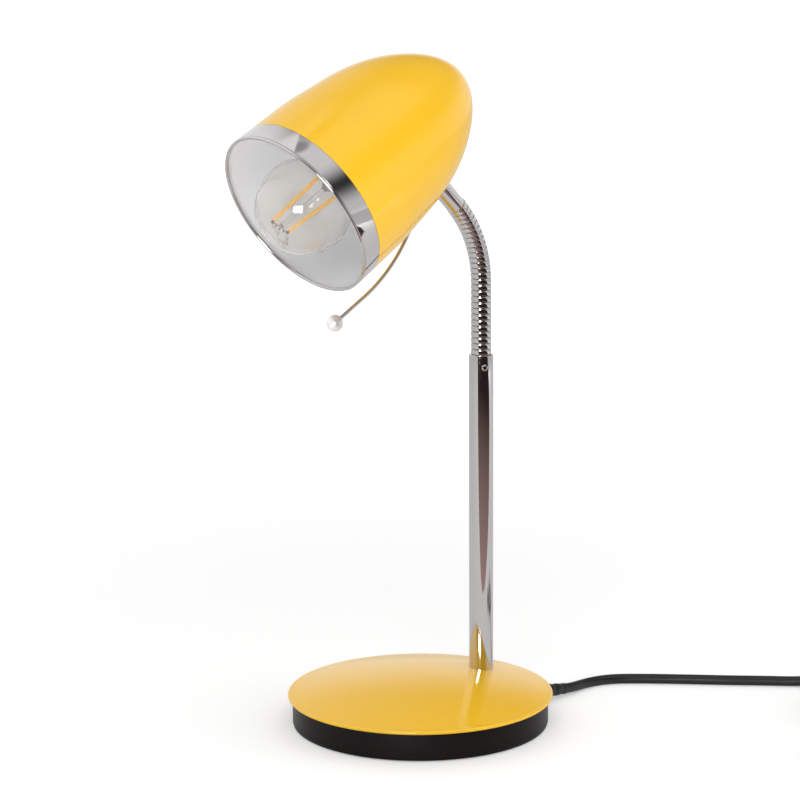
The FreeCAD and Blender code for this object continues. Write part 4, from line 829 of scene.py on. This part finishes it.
def shade_outline(shade, inset, steps=72):
    """The shade's outline as radius and station: a straight flare, then a spline through shares."""
    shoulder = shade.shoulder_radius - inset
    way, width = np.array(SHADE_SHARES).T
    stations = shade.shoulder + way * (shade.nose - inset - shade.shoulder)
    points = np.column_stack([width * shoulder, stations])
    flare = unit(np.array([shade.shoulder_radius - shade.rim_radius, shade.shoulder]))
    nose = spline(points, flare, (-1.0, 0.0), steps)
    nose[-1, 0] = 0
    share = np.linspace(0, 1, 12)[:-1, None]
    rim = np.array([shade.rim_radius - inset, 0])
    return np.vstack([rim + share * (points[0] - rim), nose])


def radius_at(outline, station):
    """An outline's radius at a station."""
    return np.interp(station, outline[:, 1], outline[:, 0])


def on_outline(outline, station, step=0.0004):
    """The outline's point at a station and the way out of the wall there."""
    lower, upper = radius_at(outline, [station - step, station + step])
    out = unit(np.array([2 * step, lower - upper]))
    return np.array([radius_at(outline, station), station]), out


class LAMP_OT_shade(Maker, Operator):
    """Makes the shade, yellow outside and white inside, and the chrome band with its rolled bead"""

    bl_idname = "lamp.shade"
    bl_label = "Shade"

    def execute(self, context):
        shade = context.scene.lamp_shade
        to_world = shade_frame(shade)
        outside, inside = shade_outline(shade, 0), shade_outline(shade, shade.wall)
        gap, chamfer = 0.00012, 0.0002
        ledge = shade.band_width + gap
        above = outside[outside[:, 1] > ledge + 2 * chamfer]
        edge = np.array([radius_at(outside, ledge), ledge])
        sunk = edge - [shade.band_thickness, 0]
        mouth = (shade.rim_radius - shade.band_thickness, EDGE)
        step = eased([mouth, sunk, edge, above[0]], [0, 0, chamfer, 0], 6)
        rows = np.vstack([inside[::-1], step, above[1:]])
        grid = placed(turned(rows[::-1], MOUTH_ROUND), to_world)
        piece(
            "shade", [(grid, len(rows) - len(inside) - 1)],
            [finish("yellow_enamel"), finish("white_enamel")], "head",
            ["shade_shell"], 55,
        )

        drawn_in, lip, play = 0.00002, 0.0005, 0.00016
        start, end = np.array([shade.rim_radius - drawn_in, lip]), edge - [0, play]
        under = np.array([shade.band_thickness * 0.9, 0])
        strip = eased([start - under, start, end, end - under], FINE_EDGE, 5, closed=True)
        middle = (shade.rim_radius - shade.bead_radius, 0)
        bead = arc_points(middle, shade.bead_radius, 0, 2 * np.pi, 25)
        grids = [placed(turned(shape, MOUTH_ROUND), to_world) for shape in (strip, bead)]
        piece("band", grids, [finish("chrome")], "head", ["shade_band"], 60)
        return {"FINISHED"}


class LAMP_OT_ferrule(Maker, Operator):
    """Makes the plain ferrule from the neck to the shade, whose end follows the shade's wall"""

    bl_idname = "lamp.ferrule"
    bl_label = "Ferrule"

    def execute(self, context):
        stem, shade = context.scene.lamp_stem, context.scene.lamp_shade
        width, size = stem.ferrule_radius, stem.ferrule_length
        end = stem.rib_pitch * stem.ribs * (stem.straight + stem.bent)
        (place,), (turn,) = neck_points(stem, [end])
        way = np.array([0, -math.sin(turn), math.cos(turn)])
        normal = np.array([0, math.cos(turn), math.sin(turn)])
        angles = circle(64)[:, None]
        ring = np.cos(angles) * [1, 0, 0] + np.sin(angles) * normal
        seat = self.reach_of_wall(shade, place + ring * width, way * size) * size + EDGE
        bore = width * 0.6
        profile = eased([(bore, 0), (width, 0), (width, 1), (bore, 1)], [0, EDGE, 0, 0])
        radius, share = profile.T[:, :, None]
        reach = np.where(share < 0.5, share, seat[None])
        rows = place + ring * radius[..., None] + way * reach[..., None]
        rows = np.concatenate([rows, rows[:1]])
        piece("ferrule", [rows], [finish("chrome")], "head", ["head_ferrule"], 50)
        dress("sheath", "head_lead")
        dress("zinc", "head_washer", "head_nut", "holder_nut", "holder_bracket", "handle_nut")
        return {"FINISHED"}

    def reach_of_wall(self, shade, starts, way):
        """How far along a way each start meets the shade's wall, found by halving a span."""
        outline = shade_outline(shade, 0, 400)
        to_shade = np.array(shade_frame(shade).inverted())
        near, far = np.full(len(starts), 0.4), np.full(len(starts), 1.8)
        for _ in range(30):
            middle = (near + far) / 2
            point = placed(starts + way * middle[:, None], to_shade)
            outside = np.hypot(point[:, 0], point[:, 1]) > radius_at(outline, point[:, 2])
            near, far = np.where(outside, middle, near), np.where(outside, far, middle)
        return near


def heading(turn):
    """A direction in the shade's middle plane, turned from straight back towards straight down."""
    return np.array([0, math.sin(turn), math.cos(turn)])


def swung(start, first, turn, radius, steps):
    """Points on an arc that leaves a point: centre - radius heading(first + t + 90 degrees)."""
    centre = start + heading(first + math.pi / 2) * radius
    turns = first + np.linspace(0, turn, steps) + math.pi / 2
    return centre - radius * np.stack([0 * turns, np.sin(turns), np.cos(turns)], axis=-1)


class LAMP_OT_handle(Maker, Operator):
    """Makes the bowed handle wire under the shade and the ball at its end"""

    bl_idname = "lamp.handle"
    bl_label = "Handle"

    def execute(self, context):
        shade = context.scene.lamp_shade
        to_world = shade_frame(shade)
        point, out = on_outline(shade_outline(shade, 0, 400), shade.handle_station)
        root, way = np.array([0, *point]), np.array([0, *out])
        first = math.atan2(way[1], way[2])
        root_turn = math.pi - first - shade.bow
        stand = root + way * shade.stand
        small = swung(stand, first, root_turn, shade.root_bend, 12)
        bow = swung(small[-1], first + root_turn, shade.bow, shade.bow_radius, 40)
        ball = bow[-1] - np.array([0, 0, shade.run])
        run = np.linspace(bow[-1], ball + [0, 0, shade.ball_radius / 2], 8)
        sunk = root - way * 0.0004
        path = np.vstack([[sunk], small, bow[1:], run[1:]])
        wire = placed(capped(tube_rings(path, shade.wire_radius, 24)), to_world)
        piece("handle", [wire], [finish("chrome")], "head", ["handle_wire"])

        wide, narrow, dent = shade.wire_radius * 1.25, shade.wire_radius * 1.02, 0.0002
        mouth = math.asin(wide / shade.ball_radius)
        shell = arc_points((0, 0), shade.ball_radius, -math.pi / 2, math.pi / 2 - mouth, 36)
        top = shell[-1, 1]
        hole = [(narrow, top - dent), (0, top - 1.5 * dent)]
        knob = placed(turned(np.vstack([shell, hole]), 64), to_world @ Matrix.Translation(ball))
        piece("ball", [knob], [finish("satin_chrome")], "head", ["handle_ball"], 60)
        return {"FINISHED"}


# Bulb and lampholder.


def glass_outline(bulb, inset):
    """Ball, hollow and neck: both arcs meet on the line between their centres."""
    ball, hollow = bulb.ball_radius - inset, bulb.neck_round + inset
    waist = bulb.neck_radius - inset
    rise = math.sqrt((ball + hollow) ** 2 - (waist + hollow) ** 2)
    meet = math.atan2(rise, waist + hollow)
    globe = arc_points((0, bulb.centre), ball, -math.pi / 2, meet, 56)
    neck = arc_points((waist + hollow, bulb.centre + rise), hollow, meet + math.pi, math.pi, 14)
    globe[0, 0] = 0
    return np.vstack([globe, neck[1:], [waist, bulb.glass_end]])


def filament_grids(bulb):
    """The two filaments, the wires at their ends and the front points that thin wires join."""
    clip, fine, grip, front_end, back_end, overlap = 0.0006, 0.00025, 0.0004, 0.0013, 0.0012, 0.001
    rods, wires, tips = [], [], []
    for side in (1, -1):
        front = Vector((side * bulb.tip_side, side * bulb.tip_drop, bulb.tip_station))
        behind = Vector((side * bulb.back_side, side * bulb.back_drop, bulb.back_station))
        way = (behind - front).normalized()
        foot = Vector((behind.x, behind.y, 0)).normalized() * bulb.stem_radius
        foot.z = behind.z + 0.004
        rods.append(rod(front, behind, bulb.filament_radius, EDGE))
        wires += [
            rod(front - way * front_end, front + way * grip, clip, FINE_EDGE, 16),
            rod(behind - way * grip, behind + way * back_end, clip, FINE_EDGE, 16),
            rod(behind + way * overlap, foot, fine, FINE_EDGE, 12),
        ]
        tips.append(np.array(front - way * back_end))
    return rods, wires, tips


def curled_wires(tips):
    """Two thin wires from tip to tip: a line plus a swelling sin(pi s)^p times circles round it.

    The thicker one winds four times. The finer one hangs in loops of three unlike frequencies.
    """
    share = np.linspace(0, 1, 90)[:, None]
    line = tips[0] + share * (tips[1] - tips[0])
    swell, slack, thick, thin = np.sin(share * np.pi), 0.0009, 0.0002, 0.00009
    wind = share * 2 * np.pi * 4
    coil = np.hstack([0 * wind, np.cos(wind), np.sin(wind)])
    curl = line + swell**0.7 * slack * coil
    wound = tube_rings(curl, thick, 10, side=(0.0, 0.3, 1.0))
    wind = share * 2 * np.pi * 5
    sag = swell * [0.0, 0.0085, -0.0012]
    loops = np.hstack([np.sin(wind), np.sin(1.7 * wind), np.cos(wind) + np.sin(2.3 * wind)])
    curl = line + sag + swell**0.4 * slack * loops
    hanging = tube_rings(curl, thin, 8, side=(0.3, 1.0, 0.2))
    return [capped(wound), capped(hanging)]


class LAMP_OT_bulb(Maker, Operator):
    """Makes the clear bulb, its filaments and their wires, and finishes the lampholder"""

    bl_idname = "lamp.bulb"
    bl_label = "Bulb"

    def execute(self, context):
        bulb = context.scene.lamp_bulb
        to_world = shade_frame(context.scene.lamp_shade)
        glass = finish("clear_glass")
        shell = np.vstack([glass_outline(bulb, 0), glass_outline(bulb, bulb.glass_wall)[::-1]])
        globe = placed(turned(shell), to_world)
        piece("bulb", [globe], [glass], "head", ["bulb_glass"], 60)

        rod_radius, end = bulb.rod_radius, bulb.glass_end
        gap, lip, bend = 0.0001, 0.001, 0.0011
        flare = bulb.neck_radius - bulb.glass_wall - gap
        corners = [
            (0, bulb.rod_station),
            (rod_radius, bulb.rod_station),
            (rod_radius, bulb.stem_station - 2 * rod_radius),
            (bulb.stem_radius, bulb.stem_station),
            (bulb.stem_radius, end - 2 * lip),
            (flare, end - lip),
            (flare, end),
            (0, end),
        ]
        inner = placed(turned(eased(corners, bend, 8), 40), to_world)
        piece("glass_stem", [inner], [glass], "head", ["bulb_glass_stem"], 60)

        rods, wires, tips = filament_grids(bulb)
        wires += curled_wires(tips)
        # The filaments' finish carries a painted glow.
        for name, grids, coat, node, slot in (
            ("filaments", rods, "filament_coat", "bulb_filaments", "filament_yellow"),
            ("bulb_wires", wires, "dark_wire", "bulb_leads", "bulb_wire"),
        ):
            grids = [placed(grid, to_world) for grid in grids]
            piece(name, grids, [finish(coat)], "head", [node])
        dress("cap_metal", "bulb_cap")
        dress("holder_moulding", "holder_shell")
        dress("brass", "holder_thread", "holder_contact", "bulb_contact")
        return {"FINISHED"}


# Camera, light and floor.

# The camera's place and its axes, fitted to the photographed lamp: right, up and back.
CAMERA_PLACE = (0.973046, -0.842943, 0.414295)
CAMERA_AXES = (
    (0.65028, 0.75967, -0.00593),
    (-0.14274, 0.12985, 0.98121),
    (0.74616, -0.63722, 0.19287),
)

# Each lamp's place, the point that it looks at, its width and its height.
LAMPS = {
    "window": ((0.74, -1.01, 0.27), (0.0, -0.08, 0.25), 0.44, 0.34),
    "bounce": ((-0.06, -0.46, 0.012), (-0.06, -0.46, 1.0), 0.6, 0.35),
    "over": ((0.85, -0.85, 1.15), (0.0, 0.0, 0.1), 0.9, 0.9),
    "right": ((0.95, 0.75, 0.30), (0.0, 0.0, 0.2), 0.7, 0.5),
}

# Where the front, the back and the left of the room lie.
FRONT = (0.756, -0.655, 0.0)
BEHIND = (-0.756, 0.655, 0.0)
LEFT = (-0.655, -0.756, 0.0)


class LAMP_OT_stage(Maker, Operator):
    """Sets the camera, the floor and the studio light"""

    bl_idname = "lamp.stage"
    bl_label = "Stage"

    def execute(self, context):
        scene = context.scene
        studio = scene.lamp_studio
        scene.view_settings.view_transform = "Standard"
        camera = linked("camera", bpy.data.cameras.new("camera"))
        camera.data.lens = studio.lens
        camera.data.sensor_width = 36.0
        camera.data.clip_end = 60.0
        turn = Matrix(CAMERA_AXES).transposed().to_4x4()
        camera.matrix_world = Matrix.Translation(CAMERA_PLACE) @ turn
        scene.camera = camera

        scene.world = bpy.data.worlds.new("studio")
        scene.world.use_nodes = True
        tree = scene.world.node_tree
        surround = tree.nodes["Background"]
        surround.inputs["Color"].default_value = (1.0, 1.0, 1.0, 1.0)
        rays = made(tree, "LightPath", {})
        strength = mixed(tree, shown_rays(tree, rays), studio.fill, 1.0)
        mirror = self.surround_in_mirrors(studio, tree)
        strength = mixed(tree, rays.outputs["Is Glossy Ray"], strength, mirror)
        tree.links.new(strength, surround.inputs["Strength"])

        half, corner = 15.0, 1.0
        disc = capped(boxed_rings([(half, half, corner, 0.0)]))[:2]
        piece("floor", [disc], [self.floor_finish(studio)], None)
        self.dark_room()
        for name, (place, target, width, height) in LAMPS.items():
            lamp = self.lamp(name, place, target, width, height, getattr(studio, name))
            if name == "window":
                lamp.visible_diffuse = False
            else:
                lamp.visible_glossy = lamp.visible_transmission = False
        return {"FINISHED"}

    def surround_in_mirrors(self, studio, tree):
        """The room as chrome and enamel show it.

        Behind the lamp it is white up to eye level and darkens upwards. On the right it darkens
        sooner and turns light again overhead. On the left it is light all the way up, and in front
        it is dark.
        """
        place = made(tree, "TexCoord", {}).outputs["Generated"]
        height = made(tree, "SeparateXYZ", {0: place}).outputs["Z"]

        def along(way, start, end):
            share = made(tree, "VectorMath", {0: place, 1: way}, operation="DOT_PRODUCT")
            return stepped(tree, share.outputs["Value"], start, end, 0.0, 1.0)

        def up(start, end, low=0.0, high=1.0):
            return stepped(tree, height, start, end, low, high)

        soft, sharp = along(LEFT, -0.15, 0.45), along(LEFT, 0.03, 0.06)
        left = mixed(tree, up(0.9, 0.98), soft, sharp)
        far = mixed(tree, up(0.16, 0.48), 0.95, studio.ceiling)
        lower = mixed(tree, up(0.0, 0.08), 0.9, up(0.14, 0.5, 0.76, 0.05))
        near = mixed(tree, up(0.53, 0.86), lower, 0.92)
        near = mixed(tree, up(0.985, 0.999), near, 0.4)
        right = mixed(tree, along(BEHIND, 0.0, 0.4), near, far)
        sky = mixed(tree, up(0.16, 0.3), 0.95, 1.1)
        room = mixed(tree, left, right, sky)
        return mixed(tree, along(FRONT, 0.5, 0.8), room, studio.ceiling * 0.3)

    def dark_room(self):
        """The dark room in front of the white table, seen in reflections only.

        Its outline is given by directions from the stem and distances from it.
        """
        turns, reach = np.array(ROOM_EDGE).T
        turns = np.radians(turns + FRONT_TURN)
        middle, lift = 0.04, 0.002
        x, y = reach * np.cos(turns), middle + reach * np.sin(turns)
        mesh = bpy.data.meshes.new("dark_room")
        mesh.from_pydata(np.column_stack([x, y, 0 * x + lift]), [], [list(range(len(x)))])
        material, tree, surface = bare_material("dark_room")
        dim = stepped(tree, from_origin(tree), 0.20, 0.80, 0.46, 0.03, "LINEAR")
        shade = made(tree, "Emission", {"Color": (1.0, 0.68, 0.62, 1.0), "Strength": dim})
        tree.links.new(shade.outputs[0], surface)
        mesh.materials.append(material)
        card = linked("dark_room", mesh)
        card.visible_camera = card.visible_diffuse = False
        card.visible_shadow = card.visible_transmission = False

    def lamp(self, name, place, target, width, height, power):
        """A soft lamp that looks at a point."""
        light = bpy.data.lights.new(name, "AREA")
        light.shape = "RECTANGLE"
        light.size, light.size_y = width, height
        light.energy = power
        lamp = linked(name, light)
        turn = (Vector(target) - Vector(place)).to_track_quat("-Z", "Y").to_matrix().to_4x4()
        lamp.matrix_world = Matrix.Translation(place) @ turn
        lamp.visible_camera = False
        return lamp

    def floor_finish(self, studio):
        """A pale diffuse floor that shows a little brighter to the eye, and keeps its shadows."""
        material, tree, surface = bare_material("pale_floor")
        matt = made(tree, "BsdfDiffuse", {"Color": (*studio.floor, 1.0)}).outputs[0]
        rays = made(tree, "LightPath", {})
        strength = stepped(tree, from_origin(tree), 0.25, 1.3, studio.glow, 0.6)
        strength = mixed(tree, rays.outputs["Is Glossy Ray"], strength, 0.04)
        glow = made(tree, "Emission", {"Strength": strength}).outputs[0]
        both = made(tree, "AddShader", {0: matt, 1: glow}).outputs[0]
        choice = made(tree, "MixShader", {0: shown_rays(tree, rays), 1: matt, 2: both})
        tree.links.new(choice.outputs[0], surface)
        return material


# Lead.

# The plug's flank: shares of its length, and how much of its widening is reached there.
PLUG_FLANK = (
    (0.0, 0.0), (0.15, 0.03), (0.3, 0.10), (0.44, 0.30), (0.58, 0.55), (0.70, 0.81), (0.80, 0.97),
    (0.9, 1.0), (1.0, 1.0),
)


def raised(points, height):
    """Points of the desk lifted to a height."""
    points = np.atleast_2d(points)
    return np.column_stack([points, np.broadcast_to(height, len(points))])


def route_curve(name, points, lead):
    """A round lead on a smooth spline whose control points are the route's points."""
    curve = bpy.data.curves.new(name, "CURVE")
    curve.dimensions = "3D"
    curve.bevel_depth = 1.0
    curve.bevel_resolution = 6
    curve.resolution_u = 6
    curve.use_fill_caps = True
    line = curve.splines.new("NURBS")
    line.points.add(len(points) - 1)
    line.points.foreach_set("co", np.hstack([points, np.ones((len(points), 1))]).ravel())
    line.points.foreach_set("radius", np.full(len(points), lead.thickness / 2))
    line.order_u = 3
    line.use_endpoint_u = True
    curve.materials.append(finish("sheath"))
    thing = linked(name, curve)
    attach(thing, "base")
    return thing


def coil_points(lead, steps=10):
    """The put-away coil: half turns clockwise about centres that step with their radius.

    A point is centre + radius (side cos a, -side sin a), a from 0 to half a turn, and the radius
    changes by half a pitch after each half turn. The half turn in between climbs a layer steadily.
    A spline cuts inside its points, so they stand out a little.
    """
    number = np.arange(lead.turns_in + 1 + lead.turns_out)
    change = np.where(number < lead.turns_in, -0.5, 0.5) * lead.coil_pitch
    radius = lead.coil_radius + np.concatenate([[0], np.cumsum(change[:-1])])
    swing = radius * np.where(number % 2 == 0, 1.0, -1.0)
    starts = COIL_START[0] - np.concatenate([[0], np.cumsum(2 * swing)[:-1]])
    part = (np.arange(steps) + 0.5) / steps
    angle = part * np.pi
    outward = 1.35
    stretch = 1 / np.cos(np.pi / steps / 2) ** outward
    x = (starts - swing)[:, None] + swing[:, None] * np.cos(angle) * stretch
    y = COIL_START[1] - swing[:, None] * np.sin(angle) * stretch
    z = lead.coil_level + lead.coil_pitch * np.clip(number[:, None] + part - lead.turns_in, 0, 1)
    return np.stack([x, y, z], axis=-1).reshape(-1, 3)


def centre_line(thing):
    """The points of a curve's own spline, read with its thickness set aside."""
    thickness = thing.data.bevel_depth
    thing.data.bevel_depth = 0
    line = bpy.data.meshes.new_from_object(thing)
    points = np.empty(len(line.vertices) * 3)
    line.vertices.foreach_get("co", points)
    bpy.data.meshes.remove(line)
    thing.data.bevel_depth = thickness
    return points.reshape(-1, 3)


def boot_rings(path, size, swell, lead, rings=4):
    """A boot round the start of a path: the radius falls from wide to narrow, with rings cut in.

    radius = wide + (narrow - wide) u^0.8 - depth max(0, sin(2 pi rings u))^2, with u the share of
    its length.
    """
    wide, narrow, depth = lead.thickness * swell, lead.thickness * 0.54, 0.00035
    reach = np.concatenate([[0], np.cumsum(np.linalg.norm(np.diff(path, axis=0), axis=1))])
    u = np.linspace(0, 1, rings * 12 + 1)
    line = np.stack([np.interp(u * size, reach, path[:, axis]) for axis in range(3)], axis=-1)
    cut = depth * np.maximum(0, np.sin(2 * np.pi * rings * u)) ** 2
    radius = wide + (narrow - wide) * u**0.8 - cut
    return capped(tube_rings(line, radius, 32, side=(0.0, 0.0, 1.0)))


class LAMP_OT_lead(Maker, Operator):
    """Makes the lead: its run to the switch, and from there its coil and its run to the plug"""

    bl_idname = "lamp.lead"
    bl_label = "Lead"

    def execute(self, context):
        lead = context.scene.lamp_lead
        thickness, tunnel = lead.thickness, lead.switch_tunnel
        way = np.array([math.sin(lead.exit_angle), math.cos(lead.exit_angle), 0])
        start = way * lead.exit_reach + [0, 0, lead.exit_height]
        heading = np.array([math.cos(lead.heading), math.sin(lead.heading), 0])
        end = LEAD_OUT[-1] + heading * (tunnel + thickness)
        run = route_curve("lead_run", [start, start + way * 2 * thickness, *LEAD_OUT, end], lead)
        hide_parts("cord_free")
        boot = boot_rings(centre_line(run), 0.020, 0.82, lead)
        piece("lead_bush", [boot], [finish("sheath")], "base", ["cord_grommet"])

        far = LEAD_OUT[-1] + heading * (thickness + lead.switch_length)
        begin, bend = far - heading * tunnel, far + heading * 2 * tunnel
        low, high = lead.coil_level, lead.coil_level + lead.coil_pitch
        straight = np.array([0, 0.005])
        link = raised([*LEAD_TO_COIL, COIL_START + straight], low)
        tail = raised([COIL_START - straight, *LEAD_TO_PLUG], [high, high, lead.plug_height / 2])
        entry = raised(PLUG_ENTRY, lead.plug_height / 2)
        points = np.vstack([begin, bend, link, coil_points(lead), tail, entry])
        rest = route_curve("lead_coil", points, lead)
        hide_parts("cord_link", "cord_coil", "cord_plug_lead")
        self.plug(lead, centre_line(rest)[::-1])
        self.switch(lead)
        self.tie(lead)
        # The place of the coil and the switch is chosen freely, so the stem doesn't mirror them.
        for name in ("lead_coil", "tie", "plug", "switch_bottom", "switch_top", "switch_rocker"):
            bpy.data.objects[name].visible_glossy = False
        return {"FINISHED"}

    def tie(self, lead):
        """The coil's tie: a flat loop whose rounded cross-section goes round the turns."""
        low, high = (np.array(corner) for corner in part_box("cord_tie"))
        (length, width, height), middle = (high - low) / 2, (high + low) / 2
        wall, corner, ease = lead.tie_thickness, lead.tie_thickness * 3, 0.0002
        outer = (length, height, corner)
        inner = (length - wall, height - wall, corner - wall)
        rows = [(*outer, -width), (*outer, width), (*inner, width), (*inner, -width)]
        rings = boxed_rings(eased(rows + rows[:1], ease, 4))
        rings = np.stack([rings[..., 0], -rings[..., 2], rings[..., 1]], axis=-1) + middle
        rings = np.concatenate([rings, rings[:1]])
        piece("tie", [rings], [finish("hard_black")], "base", ["cord_tie"])

    def switch(self, lead):
        """The switch's case: rounded boxes ring by ring, the upper one with the rocker's window."""
        half, side, corner = lead.switch_length / 2, lead.switch_width / 2, lead.switch_corner
        seam, top = lead.switch_seam, lead.switch_top
        bevel, gap, round_off, floor = 0.00025, 0.00002, 0.0015, seam + 0.0008

        def inset(amount, height):
            return half - amount, side - amount, corner - amount, height

        rim = round_off - arc_points((0, 0), round_off, 0, math.pi / 2, 7)
        lower = [inset(amount, drop) for amount, drop in rim[::-1]]
        lower += [inset(0, seam - bevel), inset(bevel, seam - gap)]
        upper = [inset(bevel, seam + gap), inset(0, seam + bevel)]
        upper += [inset(amount, top - drop) for amount, drop in rim]
        length, width = lead.rocker_length / 2 + EDGE, lead.rocker_width / 2 + EDGE
        # Round the rocker: how far out, the corner's radius and the height.
        window = (
            (0.0014, 0.0016, top),
            (0.0011, 0.0014, top - 0.0003),
            (0.0003, 0.0008, top - 0.0003),
            (0.0, 0.0005, top - 0.0006),
            (0.0, 0.0005, floor),
        )
        upper += [(length + out, width + out, bend, height) for out, bend, height in window]
        upper += [(half - 0.004, side - 0.003, corner - 0.002, floor), upper[0]]
        for name, rings, node in (
            ("switch_bottom", capped(boxed_rings(lower, 80)), "switch_base"),
            ("switch_top", boxed_rings(upper, 80), "switch_cover"),
        ):
            case = placed(rings, switch_frame(lead))
            piece(name, [case], [finish("hard_black")], "base", [node])
        dress("rocker_moulding", "switch_rocker")

    def plug(self, lead, tail):
        """The plug: rounded sections that widen along a flank, a boot behind and two pins."""
        to_world = plug_frame(lead)
        steps, edge, turn = 30, 0.0012, 0.0042
        share = np.linspace(0, 1, steps)
        flank = np.interp(share, *np.array(PLUG_FLANK).T)
        wide = lead.plug_neck / 2 + (lead.plug_width - lead.plug_neck) / 2 * flank
        ends = np.minimum(np.minimum(share, 1 - share) * lead.plug_length / edge, 1)
        drawn = edge * (1 - np.sqrt(1 - (1 - ends) ** 2))
        tall, corner = lead.plug_height / 2 - drawn, np.full(steps, turn)
        sizes = np.column_stack([wide - drawn, tall, corner, share * lead.plug_length])
        rings = np.roll(boxed_rings(sizes), 1, axis=-1)
        grids = [placed(capped(rings), to_world), boot_rings(tail, 0.016, 0.86, lead)]
        piece("plug", grids, [finish("sheath")], "base", ["plug_body"])

        full, size = lead.pin_radius, lead.pin_length
        slim, seen, half, sunk, tip = full * 0.96, full * 0.985, size / 2, -0.001, 0.0009
        profile = [(0, sunk), (slim, sunk), (slim, half), (full, half), (full, size), (0, size)]
        profile = eased(profile, [0, 0, FINE_EDGE, FINE_EDGE, tip, 0], 6)
        bare = int(np.argmax(profile[:, 0] > seen))
        pins = []
        for side in (1, -1):
            face = Vector((lead.plug_length, side * lead.pin_spacing / 2, 0))
            pins.append((placed(turned(profile, 40), to_world @ aimed(face, (1, 0, 0))), bare))
        metals = [finish("hard_black"), finish("cap_metal")]
        piece("pins", pins, metals, "base", ["plug_pins"])


PIECES = (
    LAMP_OT_stage,
    LAMP_OT_lead,
    LAMP_OT_base,
    LAMP_OT_stem,
    LAMP_OT_neck,
    LAMP_OT_shade,
    LAMP_OT_ferrule,
    LAMP_OT_handle,
    LAMP_OT_bulb,
)

GROUPS = {
    "lamp_base": BaseSizes,
    "lamp_stem": StemSizes,
    "lamp_shade": ShadeSizes,
    "lamp_bulb": BulbSizes,
    "lamp_lead": LeadSizes,
    "lamp_finishes": Finishes,
    "lamp_studio": Studio,
}


class LAMP_PT_panel(Panel):
    """Lists the lamp's pieces in the sidebar"""

    bl_idname = "LAMP_PT_panel"
    bl_label = "Desk lamp"
    bl_space_type = "VIEW_3D"
    bl_region_type = "UI"
    bl_category = "Desk lamp"

    def draw(self, context):
        for operator in PIECES:
            self.layout.operator(operator.bl_idname)


CLASSES = (*GROUPS.values(), *PIECES, LAMP_PT_panel)


def register():
    for group in CLASSES:
        bpy.utils.register_class(group)
    for name, group in GROUPS.items():
        setattr(bpy.types.Scene, name, PointerProperty(type=group))


def unregister():
    for name in GROUPS:
        delattr(bpy.types.Scene, name)
    for group in reversed(CLASSES):
        bpy.utils.unregister_class(group)


def main():
    """Builds the lamp."""
    register()
    for operator in PIECES:
        section, name = operator.bl_idname.split(".")
        getattr(getattr(bpy.ops, section), name)()


if __name__ == "__main__":
    main()
